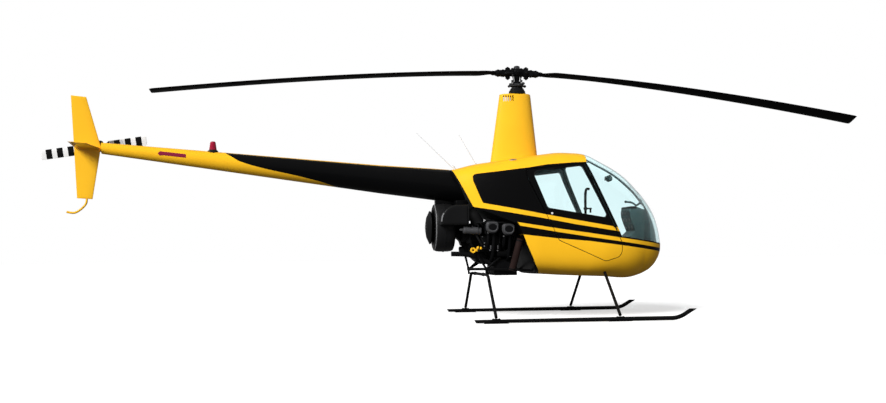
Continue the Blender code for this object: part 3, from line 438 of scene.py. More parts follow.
class Piece:
    """Makes a finished object of the scene out of a mesh in the mast frame."""

    count = 0

    @classmethod
    def make(cls, name: str, shape: Shell | bpy.types.Mesh, finish: "Finish", body: str = "airframe",
             replaces: Sequence[str] = (), inner: "Finish | None" = None, smooth: float = 32.0,
             bevel: float = 0.0, aft: "Finish | None" = None) -> bpy.types.Object:
        """Place a mesh in the row frame, finish it and let it ride on a body.

        Args:
            name: the piece's name.
            shape: its surface or mesh, in the mast frame.
            finish: its finish.
            body: the moving body that it rides on.
            replaces: CAD nodes that it stands for.
            inner: finish of the faces that look inwards.
            smooth: largest angle between faces, in degrees, that is shaded smooth.
            bevel: width of its rounded edges.
            aft: finish of the faces that look backwards.

        Returns:
            The new object.
        """
        mesh = mesh_of(shape, name) if isinstance(shape, Shell) else shape
        mesh.name = name
        mesh.materials.clear()
        mesh.materials.append(finish.material())
        if inner:
            mesh.materials.append(inner.material())
            index = inner_faces(mesh).astype(np.int32)
            if aft:
                mesh.materials.append(aft.material())
                normals = np.empty(len(mesh.polygons) * 3)
                mesh.polygons.foreach_get("normal", normals)
                index[normals[0::3] < LOOKS_AFT] = 2
            mesh.polygons.foreach_set("material_index", index)
        points = np.empty(len(mesh.vertices) * 3)
        mesh.vertices.foreach_get("co", points)
        points[0::3] += MAST_X
        mesh.vertices.foreach_set("co", points)
        mesh.update()
        mesh.shade_smooth()
        mesh.set_sharp_from_angle(angle=math.radians(smooth))
        piece = bpy.data.objects.new(name, mesh)
        bpy.context.scene.collection.objects.link(piece)
        if bevel:
            edges = piece.modifiers.new("edges", "BEVEL")
            edges.width, edges.segments, edges.limit_method = bevel, 2, "ANGLE"
            edges.angle_limit = math.radians(40)
            edges.harden_normals = False
        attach(piece, body)
        if replaces:
            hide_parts(*replaces)
        cls.count += 1
        return piece


# Shader helpers -------------------------------------------------------------------------------------

class Tree:
    """Adds nodes to a node tree and links them."""

    def __init__(self, tree: bpy.types.NodeTree) -> None:
        """Work on one node tree."""
        self.tree = tree

    def add(self, kind: str, **settings: object) -> bpy.types.Node:
        """A new node with its properties set."""
        node = self.tree.nodes.new(kind)
        for key, value in settings.items():
            setattr(node, key, value)
        return node

    def link(self, source: bpy.types.NodeSocket, target: bpy.types.NodeSocket) -> None:
        """Join an output to an input."""
        self.tree.links.new(source, target)

    def math(self, operation: str, *values: "float | bpy.types.NodeSocket",
             clamp: bool = False) -> bpy.types.NodeSocket:
        """One Math node over numbers and sockets; its result."""
        node = self.add("ShaderNodeMath", operation=operation, use_clamp=clamp)
        for socket, value in zip(node.inputs, values):
            if isinstance(value, bpy.types.NodeSocket):
                self.link(value, socket)
            else:
                socket.default_value = value
        return node.outputs[0]

    def mix(self, factor: bpy.types.NodeSocket, first: "Colour | bpy.types.NodeSocket",
            second: "Colour | bpy.types.NodeSocket") -> bpy.types.NodeSocket:
        """A colour mix; its result."""
        node = self.add("ShaderNodeMix", data_type="RGBA")
        self.link(factor, node.inputs["Factor"])
        for socket, value in ((node.inputs[6], first), (node.inputs[7], second)):
            if isinstance(value, bpy.types.NodeSocket):
                self.link(value, socket)
            else:
                socket.default_value = (*value, 1.0)
        return node.outputs[2]

    def noise(self, place: bpy.types.NodeSocket, scale: "float | bpy.types.NodeSocket", detail: float = 3.0,
              rough: float = 0.5) -> bpy.types.NodeSocket:
        """A noise texture's value."""
        node = self.add("ShaderNodeTexNoise")
        self.link(place, node.inputs["Vector"])
        if isinstance(scale, bpy.types.NodeSocket):
            self.link(scale, node.inputs["Scale"])
        else:
            node.inputs["Scale"].default_value = scale
        node.inputs["Detail"].default_value = detail
        node.inputs["Roughness"].default_value = rough
        return node.outputs["Fac"]

    def span(self, value: bpy.types.NodeSocket, low: float, high: float) -> bpy.types.NodeSocket:
        """A value's share of a range, clamped from 0 to 1."""
        node = self.add("ShaderNodeMapRange")
        self.link(value, node.inputs["Value"])
        for name, number in (("From Min", low), ("From Max", high)):
            node.inputs[name].default_value = number
        return node.outputs["Result"]

    def place(self) -> bpy.types.NodeSocket:
        """Object coordinates, which are row-frame metres on every piece."""
        return self.add("ShaderNodeTexCoord").outputs["Object"]

    def axes(self, vector: bpy.types.NodeSocket) -> list[bpy.types.NodeSocket]:
        """A vector's X, Y and Z."""
        node = self.add("ShaderNodeSeparateXYZ")
        self.link(vector, node.inputs[0])
        return list(node.outputs)

    def side_view(self) -> tuple[bpy.types.NodeSocket, bpy.types.NodeSocket]:
        """Place in side view: X ahead of the mast's axis, and Z."""
        x, _, z = self.axes(self.place())
        return self.math("SUBTRACT", x, MAST_X), z

    def line(self, value: bpy.types.NodeSocket, table: Sequence[tuple[float, float]]) -> bpy.types.NodeSocket:
        """Read a line through (place, height) points with a Float Curve.

        The curve works from 0 to 1, so place and height are both scaled to their own range.
        """
        places, heights = np.array(table, dtype=float).T
        low, high = float(heights.min()), float(heights.max())
        share = self.span(value, float(places[0]), float(places[-1]))
        node = self.add("ShaderNodeFloatCurve")
        points = node.mapping.curves[0].points
        shares = (places - places[0]) / (places[-1] - places[0])
        levels = (heights - low) / max(high - low, 1e-6)
        while len(points) < len(shares):
            points.new(0.5, 0.5)
        for point, x, y in zip(points, shares, levels):
            point.location, point.handle_type = (float(x), float(y)), "VECTOR"
        node.mapping.update()
        self.link(share, node.inputs["Value"])
        return self.math("MULTIPLY_ADD", node.outputs[0], high - low, low)


NUMBER = "NodeSocketFloat"


def group(name: str, inputs: Sequence[tuple[str, str, object]],
          outputs: Sequence[tuple[str, str]]) -> tuple[bpy.types.NodeTree, Tree, dict, dict, bool]:
    """Find or start a shader node group.

    Args:
        name: the group's name.
        inputs: (name, socket kind, default) rows.
        outputs: (name, socket kind) rows.

    Returns:
        The group, its tree helper, its inputs and outputs by name, and whether it is new.
    """
    found = bpy.data.node_groups.get(name)
    if found:
        return found, Tree(found), {}, {}, False
    made = bpy.data.node_groups.new(name, "ShaderNodeTree")
    for label, kind, default in inputs:
        socket = made.interface.new_socket(name=label, in_out="INPUT", socket_type=kind)
        if default is not None:
            socket.default_value = default
    for label, kind in outputs:
        made.interface.new_socket(name=label, in_out="OUTPUT", socket_type=kind)
    start, end = made.nodes.new("NodeGroupInput"), made.nodes.new("NodeGroupOutput")
    return made, Tree(made), {s.name: s for s in start.outputs}, {s.name: s for s in end.inputs}, True


def grain_group() -> bpy.types.NodeTree:
    """Fine grain and slow clouding, as a tint factor, a roughness and a height."""
    made, tree, given, wanted, new = group(
        "grain", (("Grain", NUMBER, 90.0), ("Roughness", NUMBER, 0.4), ("Spread", NUMBER, 0.1)),
        (("Cloud", NUMBER), ("Roughness", NUMBER), ("Height", NUMBER)))
    if new:
        place = tree.place()
        fine = tree.noise(place, given["Grain"], 3.0, 0.6)
        slow = tree.noise(place, 3.5, 4.0, 0.55)
        cloud = tree.span(slow, 0.32, 0.68)
        centred = tree.math("SUBTRACT", cloud, 0.5)
        change = tree.math("MULTIPLY", centred, given["Spread"])
        streak = tree.math("MULTIPLY", tree.math("SUBTRACT", fine, 0.5), given["Spread"])
        rough = tree.math("ADD", tree.math("ADD", given["Roughness"], change), streak, clamp=True)
        for name, socket in (("Cloud", cloud), ("Roughness", rough), ("Height", fine)):
            tree.link(socket, wanted[name])
    return made


def wear_group() -> bpy.types.NodeTree:
    """Chips and rubbed spots, as a mask; Amount 0 gives none, 1 gives many."""
    made, tree, given, wanted, new = group(
        "wear", (("Scale", NUMBER, 40.0), ("Amount", NUMBER, 0.2)), (("Mask", NUMBER),))
    if new:
        place = tree.place()
        chips = tree.noise(place, given["Scale"], 5.0, 0.7)
        zones = tree.noise(place, 5.0, 2.0, 0.5)
        both = tree.math("MULTIPLY", chips, tree.span(zones, 0.35, 0.7))
        edge = tree.math("SUBTRACT", 0.62, tree.math("MULTIPLY", given["Amount"], 0.3))
        tree.link(tree.math("MULTIPLY", tree.math("SUBTRACT", both, edge), 14.0, clamp=True), wanted["Mask"])
    return made


def dust_group() -> bpy.types.NodeTree:
    """Dust on faces that look up, as a mask."""
    made, tree, given, wanted, new = group("dust", (("Amount", NUMBER, 0.1),), (("Mask", NUMBER),))
    if new:
        _, _, upward = tree.axes(tree.add("ShaderNodeNewGeometry").outputs["Normal"])
        up = tree.span(upward, 0.1, 1.0)
        patches = tree.span(tree.noise(tree.place(), 6.0, 5.0, 0.6), 0.3, 0.75)
        tree.link(tree.math("MULTIPLY", tree.math("MULTIPLY", up, patches), given["Amount"], clamp=True),
                  wanted["Mask"])
    return made


def weave_group() -> bpy.types.NodeTree:
    """A cloth's threads, as a height and a tint that paints their raised tops lighter, a painted highlight:
    sin(kx) sin(ky) over two slanted directions.
    """
    made, tree, given, wanted, new = group("weave", (("Threads", NUMBER, 900.0),),
                                           (("Height", NUMBER), ("Tint", NUMBER)))
    if new:
        x, y, z = tree.axes(tree.place())
        along = tree.math("ADD", x, z)
        across = tree.math("ADD", y, tree.math("MULTIPLY", z, 0.3))
        waves = [tree.math("SINE", tree.math("MULTIPLY", way, given["Threads"])) for way in (along, across)]
        height = tree.span(tree.math("MULTIPLY", *waves), -1.0, 1.0)
        # The tint is the weave's height times a slow noise, so the threads' raised tops are painted lighter:
        # a painted highlight.
        mottle = tree.noise(tree.place(), 45.0, 3.0, 0.6)
        tree.link(height, wanted["Height"])
        tree.link(tree.math("MULTIPLY", height, mottle), wanted["Tint"])
    return made


# Finishes -------------------------------------------------------------------------------------------

@dataclass(frozen=True)
class Finish:
    """A painted, cast or moulded surface with grain, wear and dust from its nodes."""

    name: str
    slot: str
    colour: Colour
    cloud: Colour
    roughness: float = 0.45
    spread: float = 0.12
    metallic: float = 0.0
    coat: float = 0.0
    grain: float = 90.0
    bump: float = 0.0004
    wear: float = 0.0
    worn: Colour = (0.32, 0.32, 0.33)
    dust: float = 0.0
    dusty: Colour = (0.34, 0.32, 0.29)
    specular: float = 0.5

    def base(self, tree: Tree, grain: bpy.types.Node) -> bpy.types.NodeSocket:
        """The clean surface's colour: the finish's own colour, clouded towards its second one."""
        return tree.mix(grain.outputs["Cloud"], self.colour, self.cloud)

    def dress(self, shader: bpy.types.Node) -> None:
        """Set the shader's plain values."""
        shader.inputs["Metallic"].default_value = self.metallic
        shader.inputs["Coat Weight"].default_value = self.coat
        shader.inputs["Coat Roughness"].default_value = 0.05
        shader.inputs["Specular IOR Level"].default_value = self.specular

    def material(self) -> bpy.types.Material:
        """The finish's material, made the first time it is asked for."""
        found = bpy.data.materials.get(f"{self.name}_finish")
        if found:
            return found
        made = bpy.data.materials.new(f"{self.name}_finish")
        made.use_nodes = True
        made.diffuse_color = (*self.colour, 1.0)
        tree = Tree(made.node_tree)
        shader = made.node_tree.nodes["Principled BSDF"]
        self.dress(shader)
        grain = tree.add("ShaderNodeGroup", node_tree=grain_group())
        for label, value in (("Grain", self.grain), ("Roughness", self.roughness), ("Spread", self.spread)):
            grain.inputs[label].default_value = value
        colour = self.base(tree, grain)
        if self.wear:
            chips = tree.add("ShaderNodeGroup", node_tree=wear_group())
            chips.inputs["Amount"].default_value = self.wear
            colour = tree.mix(chips.outputs["Mask"], colour, self.worn)
        if self.dust:
            layer = tree.add("ShaderNodeGroup", node_tree=dust_group())
            layer.inputs["Amount"].default_value = self.dust
            colour = tree.mix(layer.outputs["Mask"], colour, self.dusty)
        tree.link(colour, shader.inputs["Base Color"])
        tree.link(grain.outputs["Roughness"], shader.inputs["Roughness"])
        tree.link(self.relief(tree, grain), shader.inputs["Normal"])
        return made

    def relief(self, tree: Tree, grain: bpy.types.Node) -> bpy.types.NodeSocket:
        """The surface's fine relief, as a normal."""
        node = tree.add("ShaderNodeBump")
        node.inputs["Strength"].default_value = 0.35
        node.inputs["Distance"].default_value = self.bump
        tree.link(grain.outputs["Height"], node.inputs["Height"])
        return node.outputs["Normal"]


YELLOW: Colour = (0.93, 0.50, 0.018)
YELLOW_SHADE: Colour = (0.90, 0.475, 0.016)
BLACK: Colour = (0.0018, 0.0018, 0.002)

# Paint lines in side view. Those named by height are (x, z) rows; those named by reach are (z, x) rows.
PANEL_TOP = ((-0.60, 1.489), (-0.515, 1.500), (-0.356, 1.514), (0.014, 1.557), (0.207, 1.589), (0.354, 1.601),
             (0.505, 1.612), (1.60, 1.66))
FIRST_TOP = ((-0.60, 1.215), (-0.453, 1.192), (0.175, 1.069), (0.481, 1.013), (0.918, 0.936), (1.60, 0.826))
FIRST_LOW = ((-0.60, 1.165), (-0.535, 1.153), (0.173, 1.026), (0.479, 0.967), (0.932, 0.893), (1.60, 0.784))
SECOND_TOP = ((-0.20, 1.006), (-0.126, 0.993), (0.243, 0.933), (0.624, 0.878), (0.955, 0.828), (1.60, 0.738))
SECOND_LOW = ((-0.20, 0.974), (-0.103, 0.957), (0.243, 0.897), (0.624, 0.837), (0.954, 0.789), (1.60, 0.699))
BELLY_TOP = ((-0.20, 0.882), (-0.076, 0.868), (0.271, 0.826), (0.623, 0.795), (0.970, 0.749), (1.60, 0.664))
BAND_REAR = ((1.00, -0.480), (1.18, -0.575), (1.306, -0.639), (1.471, -0.714), (1.56, -0.742), (1.75, -0.760))
BAND_FRONT = ((1.10, -0.400), (1.184, -0.440), (1.200, -0.462), (1.257, -0.485), (1.427, -0.547),
              (1.470, -0.549), (1.492, -0.535), (1.500, -0.515), (1.75, -0.515))
SECOND_REAR = ((0.90, -0.067), (1.02, -0.143))
BELLY_REAR = ((0.38, 0.160), (0.467, 0.122), (0.564, 0.058), (0.722, -0.013), (0.868, -0.079), (0.95, -0.116))


def livery_group() -> bpy.types.NodeTree:
    """The cabin's paint, 1 where it is yellow and 0 where it is black.

    Yellow is: ahead of the band's rear line, above the first stripe's lower line, and either over the
    panel, behind it or on the first stripe; or the second stripe; or the belly. And is the least of
    the distances to the lines, or is the greatest, and a distance of half a millimetre blends them.
    """
    made, tree, _, wanted, new = group("livery", (), (("Yellow", NUMBER),))
    if not new:
        return made
    x, z = tree.side_view()

    def over(table: Sequence[tuple[float, float]]) -> bpy.types.NodeSocket:
        """Height over a line."""
        return tree.math("SUBTRACT", z, tree.line(x, table))

    def under(table: Sequence[tuple[float, float]]) -> bpy.types.NodeSocket:
        """Depth under a line."""
        return tree.math("SUBTRACT", tree.line(x, table), z)

    def ahead(table: Sequence[tuple[float, float]]) -> bpy.types.NodeSocket:
        """Distance ahead of a line."""
        return tree.math("SUBTRACT", x, tree.line(z, table))

    behind_panel = tree.math("MULTIPLY", ahead(BAND_FRONT), -1.0)
    inside = tree.math("MAXIMUM", tree.math("MAXIMUM", over(PANEL_TOP), behind_panel), under(FIRST_TOP))
    upper = tree.math("MINIMUM", tree.math("MINIMUM", ahead(BAND_REAR), over(FIRST_LOW)), inside)
    second = tree.math("MINIMUM", tree.math("MINIMUM", under(SECOND_TOP), over(SECOND_LOW)),
                       ahead(SECOND_REAR))
    belly = tree.math("MINIMUM", under(BELLY_TOP), ahead(BELLY_REAR))
    yellow = tree.math("MAXIMUM", tree.math("MAXIMUM", upper, second), belly)
    tree.link(tree.math("MULTIPLY_ADD", yellow, LIVERY_SHARPNESS, 0.5, clamp=True), wanted["Yellow"])
    return made


# Each pattern's mask is 0.5 + sharpness times the distance to its line, so it blends over 1 / sharpness
LIVERY_SHARPNESS = 1000.0
SWEEP_SHARPNESS = 600.0

# The boom's black sweep: (x, z) rows of its upper and its lower edge
SWEEP_TOP = ((-3.10, 1.737), (-2.30, 1.668), (-1.48, 1.601), (-0.60, 1.552))
SWEEP_LOW = ((-3.10, 1.752), (-3.06, 1.725), (-2.93, 1.644), (-2.80, 1.601), (-2.651, 1.562), (-2.325, 1.491),
             (-2.10, 1.434), (-1.948, 1.386), (-1.70, 1.300), (-1.50, 1.200), (-0.60, 1.000))


def sweep_group() -> bpy.types.NodeTree:
    """The boom's paint, 1 where it is yellow and 0 in the black sweep between its two edges."""
    made, tree, _, wanted, new = group("sweep", (), (("Yellow", NUMBER),))
    if not new:
        return made
    x, z = tree.side_view()
    above = tree.math("SUBTRACT", z, tree.line(x, SWEEP_TOP))
    below = tree.math("SUBTRACT", tree.line(x, SWEEP_LOW), z)
    yellow = tree.math("MAXIMUM", above, below)
    tree.link(tree.math("MULTIPLY_ADD", yellow, SWEEP_SHARPNESS, 0.5, clamp=True), wanted["Yellow"])
    return made


class Livery(Enum):
    """Which paint pattern a two-colour skin carries."""

    CABIN = "livery"
    BOOM = "sweep"


@dataclass(frozen=True)
class PaintFinish(Finish):
    """Two-colour gloss paint under clear lacquer."""

    pattern: Livery = Livery.CABIN

    def base(self, tree: Tree, grain: bpy.types.Node) -> bpy.types.NodeSocket:
        """Black paint with clouded yellow over it where the pattern says so."""
        layout = livery_group() if self.pattern is Livery.CABIN else sweep_group()
        mask = tree.add("ShaderNodeGroup", node_tree=layout).outputs["Yellow"]
        yellow = tree.mix(grain.outputs["Cloud"], self.colour, self.cloud)
        return tree.mix(mask, BLACK, yellow)


@dataclass(frozen=True)
class BandFinish(Finish):
    """Black and white bands along the tail rotor's blades."""

    hub: tuple[float, float] = (-4.430, 1.811)
    tilt: float = math.radians(8.6)
    tip: float = 0.533
    pitch: float = 0.1095
    white: float = 0.0495
    sharpness: float = 900.0

    def base(self, tree: Tree, grain: bpy.types.Node) -> bpy.types.NodeSocket:
        """White where the remainder of the distance from the tip by the pitch is under the white's width."""
        x, _, z = tree.axes(tree.place())
        x = tree.math("SUBTRACT", x, MAST_X + self.hub[0])
        z = tree.math("SUBTRACT", z, self.hub[1])
        reach = tree.math("ADD", tree.math("MULTIPLY", x, math.cos(self.tilt)),
                          tree.math("MULTIPLY", z, math.sin(self.tilt)))
        from_tip = tree.math("SUBTRACT", self.tip, tree.math("ABSOLUTE", reach))
        rest = tree.math("MODULO", tree.math("ADD", from_tip, 10 * self.pitch), self.pitch)
        white = tree.math("MULTIPLY_ADD", tree.math("SUBTRACT", self.white, rest), self.sharpness, 0.5,
                          clamp=True)
        return tree.mix(white, BLACK, tree.mix(grain.outputs["Cloud"], self.colour, self.cloud))


@dataclass(frozen=True)
class ClothFinish(Finish):
    """Woven seat cloth."""

    threads: float = 1500.0

    def base(self, tree: Tree, grain: bpy.types.Node) -> bpy.types.NodeSocket:
        """Dark threads with their raised tops painted lighter: a painted highlight, mottled by noise."""
        weave = tree.add("ShaderNodeGroup", node_tree=weave_group())
        weave.inputs["Threads"].default_value = self.threads
        return tree.mix(weave.outputs["Tint"], self.colour, self.cloud)

    def dress(self, shader: bpy.types.Node) -> None:
        """Set the cloth's sheen."""
        shader.inputs["Sheen Weight"].default_value = 0.35
        shader.inputs["Sheen Roughness"].default_value = 0.5

    def relief(self, tree: Tree, grain: bpy.types.Node) -> bpy.types.NodeSocket:
        """The threads' relief."""
        weave = tree.add("ShaderNodeGroup", node_tree=weave_group())
        weave.inputs["Threads"].default_value = self.threads
        node = tree.add("ShaderNodeBump")
        node.inputs["Strength"].default_value = 0.5
        node.inputs["Distance"].default_value = self.bump
        tree.link(weave.outputs["Height"], node.inputs["Height"])
        return node.outputs["Normal"]


@dataclass(frozen=True)
class FloorFinish(Finish):
    """Plain pale floor that looks brighter to the camera than the light it throws back."""

    bounce: Colour = (0.14, 0.14, 0.14)
    glow: float = 0.45

    def material(self) -> bpy.types.Material:
        """The plain material, with its colour and glow chosen by the Light Path node."""
        made = super().material()
        tree = Tree(made.node_tree)
        shader = made.node_tree.nodes["Principled BSDF"]
        path = tree.add("ShaderNodeLightPath")
        seen = tree.math("MAXIMUM", path.outputs["Is Camera Ray"], path.outputs["Is Transmission Ray"])
        clean = shader.inputs["Base Color"].links[0].from_socket
        tree.link(tree.mix(seen, self.bounce, clean), shader.inputs["Base Color"])
        tree.link(tree.mix(seen, (0.0, 0.0, 0.0), (self.glow,) * 3), shader.inputs["Emission Color"])
        shader.inputs["Emission Strength"].default_value = 1.0
        return made


@dataclass(frozen=True)
class GlassFinish(Finish):
    """Clear tinted plastic glazing."""

    def dress(self, shader: bpy.types.Node) -> None:
        """Set the glazing's plain values."""
        shader.inputs["Transmission Weight"].default_value = 1.0
        shader.inputs["IOR"].default_value = 1.25
        shader.inputs["Metallic"].default_value = 0.0


PAINT = PaintFinish("livery_paint", "yellow_shell", YELLOW, YELLOW_SHADE, roughness=0.34, spread=0.05,
                    coat=0.05, grain=420.0, bump=0.00006, dust=0.006, specular=0.08)
BOOM_PAINT = PaintFinish("boom_paint", "boom_skin", YELLOW, YELLOW_SHADE, roughness=0.36, spread=0.06,
                         coat=0.05, grain=420.0, bump=0.00006, dust=0.006, pattern=Livery.BOOM, specular=0.10)
YELLOW_PAINT = Finish("yellow_paint", "yellow_skin", YELLOW, YELLOW_SHADE, roughness=0.34, spread=0.05,
                      coat=0.22, grain=420.0, bump=0.00006, dust=0.02, specular=0.22)
BLACK_PAINT = Finish("black_paint", "black_shell", BLACK, (0.003, 0.003, 0.0032), roughness=0.34, spread=0.08,
                     coat=0.04, grain=420.0, bump=0.00006, dust=0.01, specular=0.06)
BLADE_PAINT = Finish("blade_paint", "blade_paint", (0.002, 0.002, 0.0022), (0.003, 0.003, 0.0032),
                     roughness=0.5, spread=0.15, grain=260.0, bump=0.0001, dust=0.01, specular=0.04)
BANDS = BandFinish("banded_paint", "banded_paint", (0.86, 0.86, 0.86), (0.78, 0.78, 0.77), roughness=0.35,
                   coat=0.2, grain=300.0, bump=0.00006, specular=0.2)
STEEL = Finish("black_steel", "black_steel", (0.003, 0.003, 0.0033), (0.005, 0.005, 0.0055),
               roughness=0.42, spread=0.2, grain=350.0, bump=0.00015, wear=0.04,
               worn=(0.08, 0.08, 0.085), dust=0.015, specular=0.1)
GEAR_PAINT = Finish("gear_paint", "gear_paint", (0.003, 0.003, 0.0033), (0.005, 0.005, 0.005), roughness=0.42,
                    spread=0.18, grain=350.0, bump=0.00015, wear=0.05, worn=(0.08, 0.08, 0.085), dust=0.02,
                    specular=0.1)
CAST = Finish("cast_metal", "cast_metal", (0.055, 0.055, 0.058), (0.035, 0.035, 0.037), roughness=0.5,
              spread=0.25, metallic=0.5, grain=520.0, bump=0.0004, wear=0.1, worn=(0.3, 0.3, 0.31))
BRIGHT = Finish("bright_metal", "cast_metal", (0.42, 0.42, 0.43), (0.30, 0.30, 0.31), roughness=0.35,
                spread=0.2, metallic=0.8, grain=600.0, bump=0.0002)
ENGINE = Finish("engine_metal", "engine_metal", (0.006, 0.006, 0.0065), (0.004, 0.004, 0.0045),
                roughness=0.55, spread=0.2, metallic=0.2, grain=480.0, bump=0.0004, wear=0.08,
                worn=(0.12, 0.12, 0.125), specular=0.12)
MOULDED = Finish("moulded_black", "duct_shell", (0.006, 0.006, 0.0065), (0.009, 0.009, 0.0095),
                 roughness=0.42, spread=0.14, grain=700.0, bump=0.0002, dust=0.015, specular=0.2)
DUCT = Finish("duct_black", "duct_shell", (0.005, 0.005, 0.0053), (0.007, 0.007, 0.0075), roughness=0.42,
              spread=0.12, grain=700.0, bump=0.0002, dust=0.01, specular=0.2)
# Pale grey for the beads on the duct's outer edge and the scroll's inlet rim: a painted highlight on black
# moulding.
HIGHLIGHT_GREY = Finish("painted_highlight_grey", "duct_shell", (0.26, 0.26, 0.265), (0.20, 0.20, 0.205), roughness=0.5, spread=0.12,
              grain=700.0, bump=0.0001)
COVER = Finish("cover_metal", "engine_metal", (0.10, 0.10, 0.105), (0.075, 0.075, 0.08),
               roughness=0.45, spread=0.2, metallic=0.4, grain=520.0, bump=0.0003, wear=0.08,
               worn=(0.3, 0.3, 0.31))
LINING = Finish("teal_lining", "dark_trim", (0.034, 0.064, 0.064), (0.044, 0.078, 0.078),
                roughness=0.6, spread=0.15, grain=900.0, bump=0.0003, specular=0.3)
TRIM = Finish("dark_trim", "dark_trim", (0.012, 0.015, 0.015), (0.017, 0.021, 0.021), roughness=0.6,
              spread=0.15, grain=900.0, bump=0.0003, specular=0.3)
RUBBER = Finish("rubber", "dark_trim", (0.010, 0.011, 0.011), (0.015, 0.016, 0.016), roughness=0.7,
                spread=0.15, grain=600.0, bump=0.0003, dust=0.03, specular=0.25)
HOSE = Finish("hose_cloth", "hose_cloth", (0.022, 0.011, 0.010), (0.015, 0.008, 0.007), roughness=0.75,
              spread=0.2, grain=650.0, bump=0.0005, specular=0.2)
HOSE_BLACK = Finish("hose_black", "duct_shell", (0.008, 0.008, 0.0085), (0.012, 0.012, 0.012), roughness=0.65,
                    spread=0.2, grain=650.0, bump=0.0003, specular=0.25)
LENS = Finish("red_lens", "red_lens", (0.34, 0.008, 0.035), (0.28, 0.006, 0.028), roughness=0.25, spread=0.05,
              coat=0.1, grain=60.0, bump=0.00005, specular=0.2)
MAROON = Finish("maroon_plate", "red_lens", (0.22, 0.006, 0.035), (0.20, 0.005, 0.03), roughness=0.35,
                spread=0.08, coat=0.2, grain=300.0, bump=0.00005)
WHIP = Finish("whip_paint", "whip_paint", (0.72, 0.72, 0.73), (0.62, 0.62, 0.63), roughness=0.4, grain=300.0,
              bump=0.0001)
DIAL = Finish("dial_black", "dark_trim", (0.006, 0.006, 0.006), (0.010, 0.010, 0.010), roughness=0.3,
              spread=0.1, grain=400.0, bump=0.0001, specular=0.4)
GLASS = GlassFinish("clear_glass", "clear_glass", (0.87, 0.99, 1.0), (0.86, 0.985, 0.995), roughness=0.0,
                    spread=0.004, grain=8.0, bump=0.00001)
CLOTH = ClothFinish("seat_cloth", "seat_cloth", (0.02, 0.026, 0.028), (0.07, 0.085, 0.09), roughness=0.9,
                    spread=0.08, bump=0.0006)


# Cabin and body -------------------------------------------------------------------------------------

@dataclass(frozen=True)
class Pod:
    """The rounded body form that all cabin panels are cut from."""

    roof: tuple[tuple[float, float], ...] = (
        (-0.950, 1.530), (-0.712, 1.566), (-0.501, 1.616), (-0.295, 1.646), (0.000, 1.692), (0.243, 1.725),
        (0.349, 1.738), (0.507, 1.738), (0.640, 1.726), (0.712, 1.704), (0.760, 1.680), (0.878, 1.620),
        (0.984, 1.565), (1.090, 1.499), (1.196, 1.413), (1.302, 1.311), (1.354, 1.246), (1.407, 1.170),
        (1.458, 1.062), (1.490, 0.935), (1.508, 0.830), (1.523, 0.755))
    belly: tuple[tuple[float, float], ...] = (
        (-0.950, 0.500), (-0.200, 0.472), (0.178, 0.457), (0.383, 0.444), (0.694, 0.430), (0.954, 0.417),
        (1.080, 0.405), (1.165, 0.407), (1.228, 0.418), (1.337, 0.457), (1.395, 0.491), (1.452, 0.551),
        (1.481, 0.600), (1.502, 0.645), (1.515, 0.685), (1.523, 0.718))
    aft_width: tuple[tuple[float, float], ...] = (
        (-0.950, 0.200), (-0.750, 0.290), (-0.550, 0.400), (-0.350, 0.485), (-0.120, 0.545), (0.080, 0.560))
    half: float = 0.560
    nose_start: float = 0.700
    nose_tip: float = 1.525
    nose_power: float = 2.4
    widest_z: float = 0.950
    nose_z: float = 0.737
    tumble: float = 0.140
    crown: float = 0.050
    around: int = 112

    def stations(self) -> Array:
        """Places of the sections along x, close together round the nose."""
        turn = np.linspace(0.0, math.pi / 2, 74)
        return np.concatenate([np.linspace(-0.900, 0.680, 66), 0.700 + 0.8225 * np.sin(turn)])

    def sections(self, x: Array, inset: float = 0.0, angle: Array | None = None) -> Array:
        """Cut the body across x.

        Each section is a soft rectangle |y|^p + |z|^p = 1 read along rays at even angles, scaled to
        the half width, roof and belly there. Above its widest height it leans in by the tumble and
        the roof falls by the crown.

        Args:
            x: (k,) places.
            inset: distance inside the skin.
            angle: (n,) angles of the rays, from +Y up.

        Returns:
            (k, n, 3) points.
        """
        if angle is None:
            angle = turns(self.around)
        nose = np.clip((x - self.nose_start) / (self.nose_tip - self.nose_start), 0.0, 1.0)
        half = self.half * (1 - nose ** self.nose_power) ** (1 / self.nose_power)
        half = np.where(x < self.aft_width[-1][0], curve(x, self.aft_width), half) - inset
        top, low = curve(x, self.roof) - inset, curve(x, self.belly) + inset
        falling = np.clip((x - 0.9) / (self.nose_tip - 0.9), 0.0, 1.0)
        middle = self.widest_z + (self.nose_z - self.widest_z) * falling ** 2
        square = 1 - np.clip((x - 0.65) / 0.60, 0.0, 1.0)
        across, lift = np.cos(angle)[None], np.sin(angle)[None]
        upper = lift > 1e-9
        power = np.where(upper, 2.5 + 3.5 * square[:, None], 2.5 + 2.5 * square[:, None])
        size = (np.abs(across) ** power + np.abs(lift) ** power) ** (1 / power)
        across, lift = across / size, lift / size
        half, top, low, middle = (value[:, None] for value in (half, top, low, middle))
        y = half * across * (1 - self.tumble * np.maximum(lift, 0.0))
        z = np.where(upper, middle + (top - middle) * lift * (1 - self.crown * across ** 2),
                     middle + (middle - low) * lift)
        return np.stack([np.broadcast_to((x - inset * nose)[:, None], y.shape), y, z], axis=-1)

    def solid(self, inset: float = 0.0) -> Shell:
        """The whole body as one closed form, moved inwards by an inset."""
        x = self.stations()
        rings = self.sections(x, inset)
        outer = self.sections(x)
        height = np.ptp(outer[..., 2], axis=1) - 2 * inset
        narrow = outer[..., 1].max(axis=1)
        return lofted(rings[(rings[..., 1].max(axis=1) > 0.02) & (height > 0.03) & (narrow > inset + 0.02)])

    def side_y(self, x: float, z: float, inset: float = 0.0) -> float:
        """Half width of the body at a place in side view."""
        rays = np.linspace(-math.pi / 2, math.pi / 2, 721)
        ring = self.sections(np.array([x]), inset, rays)[0]
        return float(np.interp(z, ring[:, 2], ring[:, 1]))


POD = Pod()
FAR = 0.9                    # cutters reach this far out to each side
BOTH = (-FAR, FAR)


